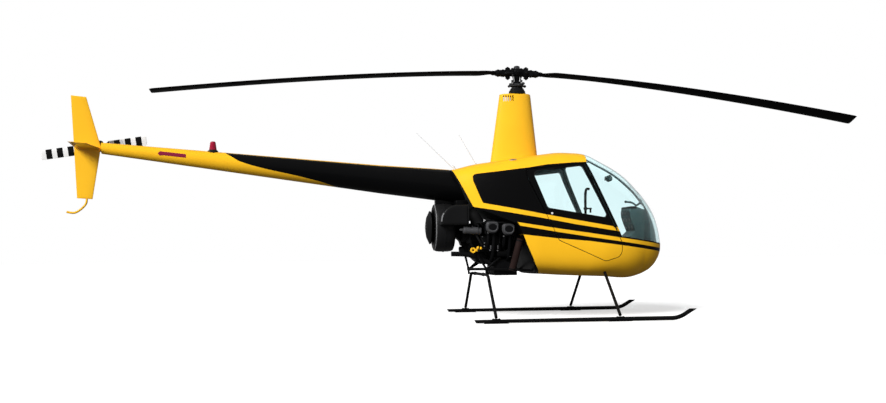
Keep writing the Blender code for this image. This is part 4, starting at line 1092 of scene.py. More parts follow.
@dataclass
class Cabin:
    """Tub, roof with door posts, aft cowl, glazing and doors."""

    seat_gap: float = 0.0003
    wall: float = 0.028
    glass: float = 0.005
    door_gap: float = 0.007
    bow_half: float = 0.012
    post_low: tuple[float, float] = (0.965, 0.838)
    post_high: tuple[float, float] = (0.630, 1.604)
    sill_break: tuple[float, float] = (1.000, 0.838)
    sill_nose: tuple[float, float] = (1.522, 0.762)
    roof_edge: tuple[tuple[float, float], ...] = ((0.643, 1.690), (0.665, 1.900))
    roof_rear: tuple[float, float] = (-0.060, 1.5275)
    tub_top_rear: float = 0.865
    cowl_rear_top: tuple[float, float] = (-0.859, 1.800)
    cowl_rear_low: tuple[float, float] = (-0.555, 1.160)
    bay_corner: tuple[float, float] = (-0.126, 0.985)
    tub_rear_top: tuple[float, float] = (-0.0694, 0.865)
    tub_rear_low: tuple[float, float] = (0.178, 0.200)
    door_corners: tuple[tuple[float, float, float], ...] = (
        (0.594, 1.600, 0.015), (-0.012, 1.533, 0.030), (-0.004, 1.450, 0.150), (0.302, 0.808, 0.035),
        (0.795, 0.590, 0.080), (0.962, 0.640, 0.080), (0.966, 0.770, 0.120), (0.897, 0.911, 0.150))
    window_corners: tuple[tuple[float, float, float], ...] = (
        (0.571, 1.574, 0.030), (0.048, 1.512, 0.045), (0.190, 1.138, 0.040), (0.826, 1.030, 0.030))

    def __post_init__(self) -> None:
        """Work out the outlines and the shared cutters."""
        self.door = rounded(self.door_corners)
        self.window = rounded(self.window_corners)
        self.wall_core = POD.solid(self.wall)
        self.door_holes = [prism(grown(self.door, self.door_gap), *sorted((sign * 0.2, sign * FAR)))
                           for _, sign in SIDES]

    @classmethod
    def tub_outline(cls) -> Array:
        """The tub's region in side view."""
        return np.array((cls.tub_rear_low, (1.700, 0.200), (1.700, 0.735), cls.sill_nose, cls.sill_break,
                         cls.post_low, (0.900, 0.838), (0.450, cls.tub_top_rear), cls.tub_rear_top))

    @classmethod
    def cowl_outline(cls) -> Array:
        """The aft cowl's region in side view."""
        return np.array((cls.cowl_rear_top, cls.cowl_rear_low, cls.bay_corner, cls.tub_rear_top,
                         (0.360, cls.tub_top_rear), (0.100, 1.5453), cls.roof_rear, (-0.060, 1.900),
                         (-0.859, 1.900)))

    def cavity(self) -> tuple[Cut, Shell]:
        """The cabin's room, which ends at the rear bulkhead."""
        region = ((0.132, 0.400), (-0.018, 0.872), (-0.055, 1.300), (-0.055, 1.900), (1.800, 1.900),
                  (1.800, 0.300), (0.170, 0.300))
        room = carved(self.wall_core, (Cut.KEEP, prism(region, *BOTH)))
        return Cut.TAKE, shell_of(room)

    def panel(self, region: Sequence[tuple[float, float]] | Array, *steps: tuple[Cut, Shell],
              span: tuple[float, float] = BOTH, inset: float = 0.0,
              margin: float | None = None) -> bpy.types.Mesh:
        """A panel: the body's form kept inside a region of the side view, then cut by each step."""
        grow = -self.seat_gap / 2 if margin is None else margin
        return carved(POD.solid(inset), (Cut.KEEP, prism(grown(region, grow), *span)), *steps)

    def build_shells(self) -> None:
        """Tub, roof and aft cowl."""
        holes = [(Cut.TAKE, hole) for hole in self.door_holes]
        cavity = self.cavity()
        core = (Cut.TAKE, self.wall_core)
        tub = self.tub_outline()
        roof = (self.roof_rear, (0.560, 1.596), (0.880, 0.838), self.post_low, self.post_high,
                *self.roof_edge, (-0.060, 1.900))
        cowl = self.cowl_outline()
        Piece.make("tub_shell", self.panel(tub, cavity, *holes), PAINT, replaces=("cabin_tub",), inner=TRIM,
                   aft=BLACK_PAINT)
        Piece.make("roof_shell", self.panel(roof, core, *holes), PAINT, replaces=("cabin_roof",),
                   inner=LINING)
        Piece.make("cowl_shell", self.panel(cowl, cavity, *holes), PAINT, replaces=("aft_cowl",), inner=TRIM)

    def build_glazing(self) -> None:
        """Both halves of the windshield and the bow between them."""
        region = (self.post_low, self.sill_break, self.sill_nose, (1.700, 0.735), (1.700, 1.900),
                  *reversed(self.roof_edge), self.post_high)
        core = (Cut.TAKE, POD.solid(self.glass))
        inner = self.bow_half + self.seat_gap
        for side, sign in SIDES:
            span = tuple(sorted((sign * inner, sign * FAR)))
            Piece.make(f"screen_{side}", self.panel(region, core, span=span), GLASS,
                       replaces=(f"windshield_{side}",))
        bow = self.panel(region, (Cut.TAKE, POD.solid(0.016)), span=(-self.bow_half, self.bow_half),
                         inset=-0.003)
        Piece.make("screen_bow", bow, LINING, replaces=("windshield_bow",))

    def build_doors(self) -> None:
        """The skin and the pane of both doors."""
        for side, sign in SIDES:
            span = tuple(sorted((sign * 0.2, sign * FAR)))
            body = f"door_{side}"
            hole = prism(self.window, *span)
            door = self.panel(self.door, (Cut.TAKE, self.wall_core), (Cut.TAKE, hole), span=span, margin=0.0)
            Piece.make(f"door_skin_{side}", door, PAINT, body, (body,), inner=LINING)
            pane = self.panel(self.window, (Cut.TAKE, POD.solid(0.010 + self.glass)), span=span, inset=0.010,
                              margin=-self.seat_gap)
            Piece.make(f"door_pane_{side}", pane, GLASS, body, (f"door_window_{side}",))

    def build(self) -> None:
        """Every part of the cabin's outside."""
        self.build_shells()
        self.build_glazing()
        self.build_doors()


def shell_of(mesh: bpy.types.Mesh) -> Shell:
    """A mesh read back as arrays, so that it can cut others."""
    points = np.empty(len(mesh.vertices) * 3)
    mesh.vertices.foreach_get("co", points)
    faces = [np.array(polygon.vertices[:]) for polygon in mesh.polygons]
    return Shell(points.reshape(-1, 3), np.empty((0, 4), dtype=int), faces)


# Aft body and tail ----------------------------------------------------------------------------------

@dataclass
class MastFairing:
    """The tall streamlined cover round the mast, with its louvres."""

    base: tuple[float, float, float] = (0.222, -0.307, 0.140)
    top: tuple[float, float, float] = (0.142, -0.192, 0.095)
    base_z: float = 1.600
    top_z: float = 2.380
    wall: float = 0.004
    edge: float = 0.012
    slots: int = 5
    slot_first_x: float = -0.1565
    slot_pitch: float = 0.0237
    slot_width: float = 0.012
    slot_z: tuple[float, float] = (2.298, 2.362)

    def rings(self, z: Array, inset: Array | float) -> Array:
        """Level streamlined sections.

        x = m + a cos u and y = b sin u (0.86 + 0.14 cos u), with the front, rear and half width read
        between the base's and the top's.
        """
        share = ((z - self.base_z) / (self.top_z - self.base_z))[:, None]
        front, rear, half = (low + (high - low) * share for low, high in zip(self.base, self.top))
        inset = np.broadcast_to(inset, z.shape)[:, None]
        angle = turns(72)[None]
        along = np.cos(angle)
        x = (front + rear) / 2 + ((front - rear) / 2 - inset) * along
        y = (half - inset) * np.sin(angle) * (0.86 + 0.14 * along)
        return np.stack([x, y, np.broadcast_to(z[:, None], x.shape)], axis=-1)

    def build(self) -> None:
        """The hollow cover, open at its louvres."""
        bend = np.linspace(0.0, math.pi / 2, 6)
        z = np.concatenate([np.linspace(1.580, self.top_z - self.edge, 30), self.top_z - self.edge
                            + self.edge * np.sin(bend[1:])])
        inset = np.concatenate([np.zeros(30), self.edge * (1 - np.cos(bend[1:]))])
        core_z = np.linspace(1.500, self.top_z - 2 * self.wall, 12)
        slots = joined([prism(rounded(((x - w, low, w * 0.9), (x + w, low, w * 0.9), (x + w, high, w * 0.9),
                                       (x - w, high, w * 0.9)), 3), -0.2, 0.2)
                        for x in self.slot_first_x + self.slot_pitch * np.arange(self.slots)
                        for w in (self.slot_width / 2,) for low, high in (self.slot_z,)])
        cover = carved(lofted(self.rings(z, inset)), (Cut.TAKE, lofted(self.rings(core_z, self.wall))),
                       (Cut.TAKE, POD.solid(-0.0003)), (Cut.TAKE, slots))
        Piece.make("fairing_cover", cover, YELLOW_PAINT, replaces=("mast_fairing",))


@dataclass
class Boom:
    """The tail boom: a long riveted cone cut where it meets the slanted back of the cowl."""

    table: tuple[tuple[float, float, float], ...] = (
        (-4.3025, 1.780, 0.057), (-1.480, 1.465, 0.1485), (-0.900, 1.410, 0.168), (-0.550, 1.365, 0.186))
    root_top: tuple[float, float] = (-0.859, 1.800)
    root_low: tuple[float, float] = (-0.555, 1.160)
    seams: tuple[float, ...] = (-1.330, -1.900, -2.480, -3.060, -3.640, -4.220)
    rivet: float = 0.0028

    def middle(self, x: Array) -> Array:
        """Height of the boom's own axis."""
        rows = np.array(self.table)
        return np.interp(x, rows[:, 0], rows[:, 1])

    def radius(self, x: Array) -> Array:
        """Radius of the boom."""
        rows = np.array(self.table)
        return np.interp(x, rows[:, 0], rows[:, 2])

    def skin(self, x: Array, angle: Array) -> Array:
        """Points of the skin: (x, r cos u, m + r sin u)."""
        return np.stack([x, self.radius(x) * np.cos(angle),
                         self.middle(x) + self.radius(x) * np.sin(angle)], -1)

    def build(self) -> None:
        """The cone, the rivets along its seams, and the blank arrow plates."""
        angle = turns(64)
        root = np.full(64, -0.70)
        slope = (self.root_low[0] - self.root_top[0]) / (self.root_low[1] - self.root_top[1])
        for _ in range(8):
            height = self.middle(root) + self.radius(root) * np.sin(angle)
            root = self.root_top[0] + slope * (height - self.root_top[1]) - 0.0003
        share = np.linspace(0.0, 1.0, 60)[:, None]
        x = root[None] + share * (self.table[0][0] - root[None])
        Piece.make("boom_skin", lofted(self.skin(x, np.broadcast_to(angle, x.shape))), BOOM_PAINT,
                   replaces=("tail_boom",))
        self.build_rivets()
        self.build_plates()

    def build_rivets(self) -> None:
        """A ring of flat-headed rivets on both sides of each seam."""
        turn = turns(36)
        seam, turn = np.meshgrid(np.array(self.seams)[:, None] + np.array((-0.012, 0.012)), turn,
                                 indexing="ij")
        places = self.skin(seam.ravel(), turn.ravel())
        out = np.stack([np.zeros(places.shape[0]), np.cos(turn.ravel()), np.sin(turn.ravel())], axis=1)
        heads = repeated(bolt(self.rivet, 0.0008, 8), places, out)
        Piece.make("boom_rivets", heads, BOOM_PAINT)

    def build_plates(self) -> None:
        """A blank arrow-shaped plate on each side, pointing to the tail rotor.

        Its outline in side view is wrapped on the cone: y = (r^2 - (z - m)^2)^0.5.
        """
        outline = np.array(((-3.742, 1.722), (-3.722, 1.7455), (-3.700, 1.743), (-3.462, 1.7165),
                            (-3.462, 1.6785), (-3.700, 1.706), (-3.722, 1.7005)))
        rows = []
        for start, end in zip(outline, np.roll(outline, -1, axis=0)):
            rows.append(start + (end - start) * np.linspace(0, 1, 16, endpoint=False)[:, None])
        flat = np.concatenate(rows)
        centre = np.array((-3.60, 1.722 - 0.1116 * 0.10))
        rings = []
        for lift in (-0.0002, 0.0014):
            for share in ((1.0, 0.8, 0.6, 0.4, 0.2, 0.08, 0.02) if lift < 0 else
                          (0.02, 0.08, 0.2, 0.4, 0.6, 0.8, 1.0)):
                xz = centre + (flat - centre) * share
                reach = self.radius(xz[:, 0]) + lift
                y = -np.sqrt(np.maximum(reach ** 2 - (xz[:, 1] - self.middle(xz[:, 0])) ** 2, 1e-6))
                rings.append(np.stack([xz[:, 0], y, xz[:, 1]], axis=1))
        plate = lofted(np.array(rings))
        Piece.make("arrow_plate_right", plate, MAROON)
        Piece.make("arrow_plate_left", plate.mirrored(), MAROON)


TIP = 0.06                   # share of a fin's span over which its tip is rounded


def tip_shares(straight: int, turned_over: int) -> Array:
    """Shares of a span from 0 to 1, closer together over its rounded tip."""
    bend = np.linspace(0, math.pi / 2, turned_over)[1:]
    return np.concatenate([np.linspace(0, 1 - TIP, straight), 1 - TIP + TIP * np.sin(bend)])


def tip_fall(share: Array) -> Array:
    """What is left of the thickness: (1 - 0.94 s^4)^0.5, with s from 0 to 1 over the rounded tip."""
    return np.sqrt(1 - 0.94 * np.clip((share - (1 - TIP)) / TIP, 0, 1) ** 4)


@dataclass
class Tail:
    """Fins, one-sided stabilizer, tail skid and the tail rotor's blades."""

    fin_y: float = -0.015
    root_z: float = 1.790
    hub: tuple[float, float, float] = (-4.430, 0.270, 1.811)
    radius: float = 0.533
    chord: float = 0.102
    tilt: float = math.radians(8.6)

    def fin(self, root: tuple[float, float], tip_lead: tuple[float, float], tip_trail: tuple[float, float],
            root_z: float) -> Shell:
        """A fin whose sections shrink round at its tip."""
        share = tip_shares(16, 8)
        lead = np.array((root[0], root_z)) + share[:, None] * (np.array(tip_lead) - (root[0], root_z))
        trail = np.array((root[1], root_z)) + share[:, None] * (np.array(tip_trail) - (root[1], root_z))
        thick = (0.020 - 0.006 * share) * tip_fall(share)
        leads = np.insert(lead, 1, self.fin_y, axis=1)
        trails = np.insert(trail, 1, self.fin_y, axis=1)
        return wing(leads, trails, thick, (0, 1, 0), 24)

    def build_fins(self) -> None:
        """Upper and lower fin, stabilizer and tail skid."""
        Piece.make("fin_top_skin", self.fin((-4.308, -4.571), (-4.456, 2.300), (-4.606, 2.316), self.root_z),
                   YELLOW_PAINT, replaces=("fin_upper",))
        Piece.make("fin_low_skin", self.fin((-4.308, -4.571), (-4.386, 1.262), (-4.537, 1.272),
                                            self.root_z - 0.0003), YELLOW_PAINT, replaces=("fin_lower",))
        root_y = self.fin_y - 0.0106
        share = tip_shares(14, 7)
        ends = np.array(((-4.312, root_y, 1.776), (-4.364, -0.480, 1.782)))
        rears = np.array(((-4.566, root_y, 1.790), (-4.530, -0.480, 1.796)))
        thick = (0.022 - 0.007 * share) * tip_fall(share)
        leads, trails = (pair[0] + share[:, None] * (pair[1] - pair[0]) for pair in (ends, rears))
        Piece.make("stabilizer_skin", wing(leads, trails, thick, (0, 0, 1), 22), YELLOW_PAINT,
                   replaces=("stabilizer",))
        path = eased(((-4.443, self.fin_y, 1.2645), (-4.443, self.fin_y, 1.225), (-4.475, self.fin_y, 1.180),
                      (-4.535, self.fin_y, 1.133), (-4.575, self.fin_y, 1.122), (-4.636, self.fin_y, 1.135)))
        Piece.make("tail_bumper", tube(path, 0.011, 20), YELLOW_PAINT, replaces=("tail_skid",))

    def build_rotor(self) -> None:
        """The two banded blades with their cuffs."""
        ahead = np.array((math.cos(self.tilt), 0.0, math.sin(self.tilt)))
        up = np.array((-ahead[2], 0.0, ahead[0]))
        reach = np.array((0.0853, 0.092, 0.110, 0.126, 0.140, 0.152, 0.170, 0.25, 0.35, 0.45, 0.520, 0.529,
                          self.radius))
        half = np.interp(reach, (0.0853, 0.110, 0.150, self.radius),
                         (0.018, 0.022, self.chord / 2, self.chord / 2))
        half[-2:] *= (0.985, 0.93)
        thick = np.interp(reach, (0.0853, 0.110, 0.150, 0.528, self.radius),
                          (0.016, 0.015, 0.012, 0.010, 0.004))
        for letter, sign in (("a", 1.0), ("b", -1.0)):
            centre = np.array(self.hub) + sign * reach[:, None] * ahead
            blade = wing(centre + up * half[:, None], centre - up * half[:, None], thick, (0, 1, 0), 14)
            Piece.make(f"tail_paddle_{letter}", blade, BANDS, "tail_rotor", (f"tail_blade_{letter}",))

    def build(self) -> None:
        """The whole tail."""
        self.build_fins()
        self.build_rotor()


# Main rotor -----------------------------------------------------------------------------------------

@dataclass
class MainRotor:
    """Boot, mast, swashplate, hub, grips and the two drooping blades."""

    hub_z: float = 2.607
    top_z: float = 2.3803
    radius: float = 3.835
    chord: float = 0.183
    thick: float = 0.022
    cone_x: float = 0.100
    grip_end: float = 0.235
    root_pitch: float = math.radians(4.5)
    twist: float = math.radians(15.5)
    twist_from: float = 0.850
    twist_power: float = 0.8
    swash_z: float = 2.464
    fork_turns: tuple[float, ...] = (0.0, 90.0, 180.0, 270.0)
    horn_turns: tuple[float, ...] = (48.7, 228.7, 150.0, 330.0)
    plate: tuple[float, float, float] = (0.205, 0.262, 0.282)
    sags: tuple[tuple[str, float, float, float, float], ...] = (
        ("a", 1.0, 0.0329, 0.3517, 1.55), ("b", -1.0, -0.0354, 0.3611, 1.45))

    def height(self, reach: Array | float, slope: float, droop: float, power: float) -> Array:
        """Height of a resting blade: hub - slope r - droop (r / R)^power, r from its coning hinge."""
        out = np.maximum(np.asarray(reach, dtype=float) - self.cone_x, 0.0)
        return self.hub_z - slope * out - droop * (out / (self.radius - self.cone_x)) ** power

    def build_blades(self) -> None:
        """Each blade: streamlined sections along its droop line, narrow at its root.

        Both stand at the root's pitch. The front blade's pitch grows outwards by the twist times
        s^power, with s from 0 to 1 between the twist's start and the tip.
        """
        reach = np.concatenate([(0.2362, 0.262, 0.300, 0.345, 0.385, 0.420, 0.46),
                                np.linspace(0.52, self.radius - 0.03, 60),
                                (self.radius - 0.018, self.radius - 0.008, self.radius - 0.002, self.radius)])
        chord = np.interp(reach, (0.2362, 0.262, 0.300, 0.375, self.radius - 0.03, self.radius),
                          (0.056, 0.080, 0.125, self.chord, self.chord, self.chord * 0.93))
        thick = np.interp(reach, (0.2362, 0.420, 0.800, 1.050,
                                  self.radius - 0.03, self.radius - 0.008, self.radius),
                          (0.030, 0.030, 0.025, self.thick, self.thick, self.thick * 0.8, self.thick * 0.3))
        nose = np.interp(reach, (0.30, 0.42), (0.5, 0.28))
        for letter, sign, *sag in self.sags:
            z = self.height(reach, *sag)
            out = np.maximum(reach - self.twist_from, 0.0) / (self.radius - self.twist_from)
            turn = (self.twist if letter == "a" else 0.0) * out ** self.twist_power
            lift = chord / 2 * np.sin(-turn - sign * self.root_pitch)
            leads = np.stack([sign * reach, sign * chord * nose, z + lift], axis=1)
            trails = np.stack([sign * reach, -sign * chord * (1 - nose), z - lift], axis=1)
            Piece.make(f"blade_skin_{letter}", wing(leads, trails, thick, (0, 0, 1), 18), BLADE_PAINT,
                       "main_rotor", (f"main_blade_{letter}",))
            self.build_root(letter, sign, sag)

    def build_root(self, letter: str, sign: float, sag: Sequence[float]) -> None:
        """A sloping plate with a bolt above and below the blade's root."""
        plates, bolts, ways = [], [], []
        near, middle, far = self.plate
        thick = 0.005
        for side in (-1.0, 1.0):
            inner, outer = (float(self.height(x, *sag)) + side * lift
                            for x, lift in ((near, 0.0205), (far, 0.0130)))
            outline = rounded(((sign * near, -0.024, 0.004), (sign * near, 0.024, 0.004),
                               (sign * far, 0.018, 0.010), (sign * far, -0.018, 0.010)), 5)
            plate = prism(outline, 0.0, side * thick, axis=2)
            share = (np.abs(plate.points[:, 0]) - near) / (far - near)
            plate.points[:, 2] += inner + share * (outer - inner)
            plates.append(plate)
            bolts.append((sign * middle, 0.0, inner + (middle - near) / (far - near) * (outer - inner)
                          + side * thick))
            ways.append((0.0, 0.0, side))
        heads = repeated(bolt(0.0085, 0.005), np.array(bolts), np.array(ways))
        Piece.make(f"blade_root_{letter}", joined(plates) + heads, STEEL, "main_rotor")

    def build_boot(self) -> None:
        """The boot on the fairing: a bolted flange, a thick foot and a rippled neck."""
        wave = np.linspace(0.0, 1.0, 25)
        ripple = 0.079 - 0.022 * wave ** 1.6 + 0.0022 * np.cos(wave * 6 * math.pi)
        neck = np.stack([ripple, 0.038 + 0.036 * wave], axis=1)
        profile = np.concatenate([((0.034, 0.0), (0.090, 0.0), (0.092, 0.002), (0.092, 0.010), (0.087, 0.012),
                                   (0.088, 0.030), (0.085, 0.035)), neck, ((0.048, 0.078), (0.034, 0.078))])
        boot = turned(profile, (0.0, 0.0, self.top_z), (0.0, 0.0, 1.0), 56, loop=True)
        places = circle(12, 0.0890525, (0, 0, self.top_z + 0.010), start=0.13)
        Piece.make("boot", boot, MOULDED, replaces=("swash_boot",))
        Piece.make("boot_screws", repeated(bolt(0.0042, 0.003, 8), places), STEEL)

    def build_mast(self) -> None:
        """The mast with its collars, and the turning half of the swashplate with its lugs."""
        z = self.top_z + 0.0005
        profile = ((0.0265, 0.0), (0.0265, 0.117), (0.033, 0.1185), (0.034, 0.120), (0.034, 0.136),
                   (0.033, 0.1375), (0.0285, 0.139), (0.0285, 0.160), (0.031, 0.163), (0.031, 0.196))
        Piece.make("mast_tube", turned(profile, (0, 0, z), (0, 0, 1), 40), STEEL, "main_rotor",
                   ("main_mast",))
        ring = turned(((0.070, 0.028), (0.073, 0.026), (0.073, 0.017), (0.0705, 0.0155), (0.0705, 0.0125),
                       (0.075, 0.011), (0.075, 0.004), (0.071, 0.0), (0.0275, 0.0), (0.0275, 0.028)),
                      (0, 0, self.swash_z), (0, 0, 1), 56, loop=True)
        lugs, pins, level = [ring], [], self.swash_z
        for angle in np.radians(self.fork_turns):
            x, y = math.cos(angle), math.sin(angle)
            lugs.append(rod((0.060 * x, 0.060 * y, level + 0.007),
                            (0.086 * x, 0.086 * y, level + 0.005), 0.0125, 0.0115, 16))
            lugs.append(disc((0.086 * x, 0.086 * y, level + 0.004), (-y, x, 0), 0.0135, 0.011, 0.003, 20))
            pins.append((0.0965 * x, 0.0965 * y, level + 0.004))
        for angle in np.radians(self.horn_turns):
            x, y = math.cos(angle), math.sin(angle)
            lugs.append(rod((0.040 * x, 0.040 * y, level + 0.022),
                            (0.074 * x, 0.074 * y, level + 0.029), 0.0125, 0.0115, 14))
            lugs.append(disc((0.074 * x, 0.074 * y, level + 0.031), (-y, x, 0), 0.0135, 0.009, 0.003, 20))
        heads = circle(10, 0.062, (0, 0, self.swash_z + 0.028), start=0.2)
        lugs.append(repeated(bolt(0.004, 0.003), heads))
        lugs.append(repeated(bolt(0.006, 0.004), np.array(pins), np.array(pins) * (1, 1, 0)))
        Piece.make("swashplate", joined(lugs), CAST, "main_rotor", ("swash_ring",))
        scissor = []
        for sign in (-1.0, 1.0):
            knee = (sign * 0.052, -sign * 0.004, self.swash_z + 0.064)
            scissor += [rod((sign * 0.030, -sign * 0.012, self.swash_z + 0.045), knee, 0.006, 0.005, 12),
                        rod(knee, (sign * 0.060, 0.0, self.swash_z + 0.030), 0.005, 0.005, 12),
                        disc(knee, (0, 1, 0), 0.009, 0.009, sides=18)]
        Piece.make("swash_scissors", joined(scissor), STEEL, "main_rotor")

    def build_hub(self) -> None:
        """The hub: block, teeter and coning bearings across it, droop stops and the mast nut."""
        z = self.hub_z
        parts = [soft_box((-0.069, -0.031, z - 0.031), (0.069, 0.031, z + 0.052), 0.012),
                 rod((-0.047, 0.0, z + 0.040), (-0.047, 0.0, z + 0.060), 0.017, 0.014, 20, 0.004),
                 rod((0.047, 0.0, z + 0.040), (0.047, 0.0, z + 0.058), 0.017, 0.014, 20, 0.004),
                 disc((0, 0, z + 0.010), (0, 1, 0), 0.038, 0.046, 0.004),
                 disc((0, 0, z + 0.010), (0, 1, 0), 0.026, 0.054, 0.003)]
        bolts, ways = [(0, 0.054, z + 0.010), (0, -0.054, z + 0.010)], [(0, 1, 0), (0, -1, 0)]
        for x in (-self.cone_x, self.cone_x):
            parts += [disc((x, 0, z), (0, 1, 0), 0.041, 0.029, 0.004),
                      disc((x, 0, z), (0, 1, 0), 0.022, 0.050, 0.003),
                      turned(((0.018, 0.026), (0.026, 0.030), (0.028, 0.050), (0.023, 0.060),
                              (0.012, 0.0625), (0.011, 0.069)), (x, 0, z), (0, 0, 1), 24),
                      turned(((0.018, -0.026), (0.025, -0.032), (0.026, -0.052), (0.020, -0.060),
                              (0.011, -0.062), (0.010, -0.069)), (x, 0, z), (0, 0, 1), 24)]
            for side in (-1, 1):
                bolts.append((x, side * 0.050, z))
                ways.append((0, side, 0))
        heads = repeated(bolt(0.014, 0.011), np.array(bolts, float), np.array(ways, float))
        nut = turned(((0.036, 0.040), (0.036, 0.056), (0.033, 0.058), (0.033, 0.072), (0.027, 0.0785),
                      (0.016, 0.081), (0.0155, 0.0825), (0.004, 0.083)), (0, 0, z), (0, 0, 1), 12)
        ribs = [soft_box((x - 0.004, -0.038, z - 0.022), (x + 0.004, 0.038, z + 0.040), 0.003)
                for x in (-0.052, 0.052)]
        Piece.make("hub_block", joined(parts) + heads + joined(ribs), STEEL, "main_rotor", ("rotor_hub",))
        Piece.make("hub_nut", nut, CAST, "main_rotor")

    def build_grips(self) -> None:
        """Both grips with their fork cheeks, pitch horns and links."""
        for letter, sign, *sag in self.sags:
            start = np.array((sign * 0.116, 0.0, float(self.height(0.116, *sag)) + 0.001))
            end = np.array((sign * self.grip_end, 0.0, float(self.height(self.grip_end, *sag))))
            long = float(np.linalg.norm(end - start))
            profile = np.array(((0.022, 0.0), (0.034, 0.006), (0.037, 0.020), (0.041, 0.023),
                                (0.041, 0.036), (0.037, 0.039), (0.036, 0.080), (0.040, 0.083),
                                (0.040, 0.097), (0.035, 0.100), (0.031, 0.117), (0.026, 0.119)))
            profile[:, 1] *= long / 0.119
            barrel = turned(profile, start, end - start, 36)
            cheeks = []
            outline = rounded(((sign * 0.070, self.hub_z - 0.030, 0.029),
                               (sign * 0.070, self.hub_z + 0.030, 0.029),
                               (sign * 0.172, start[2] + 0.024, 0.012),
                               (sign * 0.172, start[2] - 0.026, 0.012)), 6)
            for side in (-1.0, 1.0):
                cheeks.append(prism(outline, side * 0.031, side * 0.042))
            horn_y, z = sign * 0.072, self.hub_z
            path = eased(((sign * 0.152, 0.0, z - 0.006), (sign * 0.140, sign * 0.048, z - 0.008),
                          (sign * 0.100, horn_y, z - 0.011), (sign * 0.058, horn_y, z - 0.012)))
            horn = tube(path, np.linspace(0.015, 0.011, len(path)), 16)
            eye = disc((sign * 0.060, horn_y, z - 0.012), (0, 0, 1), 0.016, 0.0105, 0.003, 22)
            ring = circle(6, 0.030, axis=0)
            bolts = repeated(bolt(0.0045, 0.004), start + 0.36 * (end - start) + ring * 1.36,
                             ring + (0, 1e-6, 0))
            Piece.make(f"grip_{letter}", joined([barrel, horn, eye, bolts] + cheeks), STEEL, "main_rotor",
                       (f"blade_grip_{letter}",))
            low = np.array((sign * 0.0475, sign * 0.0545, 2.494))
            high = np.array((sign * 0.060, horn_y, z - 0.030))
            link = [rod(low, high, 0.0052, sides=14), disc(low, (sign, -sign, 0.0), 0.0105, 0.007, 0.002, 18),
                    disc(high, (sign, 0.3, 0.0), 0.0105, 0.007, 0.002, 18),
                    rod(low + 0.25 * (high - low), low + 0.38 * (high - low), 0.0078, sides=6, edge=0.0006),
                    rod(low + 0.66 * (high - low), low + 0.78 * (high - low), 0.0078, sides=6, edge=0.0006)]
            Piece.make(f"pitch_link_{letter}", joined(link), CAST, "main_rotor")

    def build(self) -> None:
        """The whole main rotor."""
        self.build_boot()
        self.build_mast()
        self.build_hub()
        self.build_grips()
        self.build_blades()


# Landing gear ---------------------------------------------------------------------------------------

@dataclass
class Gear:
    """Skids with shoes and level-cut toes, the rear cross tube and the two front struts."""

    skid_y: float = 0.940
    skid_z: float = 0.024
    skid_radius: float = 0.021
    tail_radius: float = 0.0165
    strut_radius: float = 0.0155
    rear_x: float = -0.435
    front_x: float = 0.806
    tail_x: float = -0.660
    bend_x: float = 1.330
    bend_radius: float = 0.270
    bend_angle: float = 0.55
    toe_z: float = 0.114
    arch_z: float = 0.461
    arch_half: float = 0.510

    def runner(self, y: float) -> Shell:
        """A skid: straight, then up round (r sin a, r - r cos a), its toe cut level and its tail slanting."""
        turn = np.linspace(0.0, self.bend_angle, 12)
        bend = np.stack([self.bend_x + self.bend_radius * np.sin(turn), np.full(12, y),
                         self.skid_z + self.bend_radius * (1 - np.cos(turn))], axis=1)
        toe = bend[-1] + (0.180, 0.0, 0.180 * math.tan(self.bend_angle))
        flat = np.linspace(self.tail_x, 1.20, 12)
        flat = np.stack([flat, np.full(12, y), np.full(12, self.skid_z)], axis=1)
        path = np.concatenate([flat, bend, toe[None]])
        radius = np.interp(path[:, 0], (self.tail_x, 0.70), (self.tail_radius, self.skid_radius))
        toe_cut = prism(np.array(((1.40, self.toe_z), (1.90, self.toe_z), (1.90, 0.50), (1.40, 0.50))),
                        y - 0.05, y + 0.05)
        tail_cut = prism(np.array(((self.tail_x - 0.02, 0.06), (self.tail_x - 0.02, -0.02),
                                   (self.tail_x + 0.045, -0.02), (self.tail_x - 0.002, 0.06))),
                         y - 0.05, y + 0.05)
        return shell_of(carved(tube(path, radius, 28), (Cut.TAKE, toe_cut), (Cut.TAKE, tail_cut)))

    def build(self) -> None:
        """The whole landing gear, with shoes, saddles, clamp bands and bolts."""
        saddle_z = self.skid_z + self.skid_radius + 0.003
        for side, sign in SIDES:
            y = sign * self.skid_y
            parts, bolts = [self.runner(y)], []
            for foot_x in (self.rear_x, self.front_x):
                parts += [soft_box((foot_x - 0.12, y - 0.014, 0.0), (foot_x + 0.12, y + 0.014, 0.012), 0.003),
                          soft_box((foot_x - 0.040, y - 0.019, self.skid_z + 0.005),
                                   (foot_x + 0.040, y + 0.019, saddle_z), 0.004)]
                for dx in (-0.030, 0.030):
                    parts.append(turned(((0.0205, -0.005), (0.0225, -0.004), (0.0225, 0.004),
                                         (0.0205, 0.005)), (foot_x + dx, y - sign * 0.0015, self.skid_z),
                                        (1, 0, 0), 28, loop=True))
                    bolts.append((foot_x + dx, y, saddle_z - 0.001))
            parts.append(repeated(bolt(0.005, 0.005), np.array(bolts)))
            Piece.make(f"runner_{side}", joined(parts), GEAR_PAINT, replaces=(f"skid_{side}",))
            foot = (self.front_x, sign * (self.skid_y - 0.006), saddle_z + 0.0120)
            strut = rod(foot, (self.front_x, sign * 0.440, 0.470), self.strut_radius)
            Piece.make(f"strut_{side}", strut, STEEL, replaces=(f"front_strut_{side}",))
        half = ((self.skid_y - 0.006, saddle_z + 0.0112), (self.arch_half + 0.075, self.arch_z - 0.075),
                (self.arch_half + 0.035, self.arch_z - 0.024), (self.arch_half - 0.030, self.arch_z),
                (self.arch_half - 0.120, self.arch_z))
        path = [(self.rear_x, -y, z) for y, z in half] + [(self.rear_x, y, z) for y, z in reversed(half)]
        Piece.make("rear_arch", tube(eased(path), self.strut_radius, 24), STEEL,
                   replaces=("rear_cross_tube",))


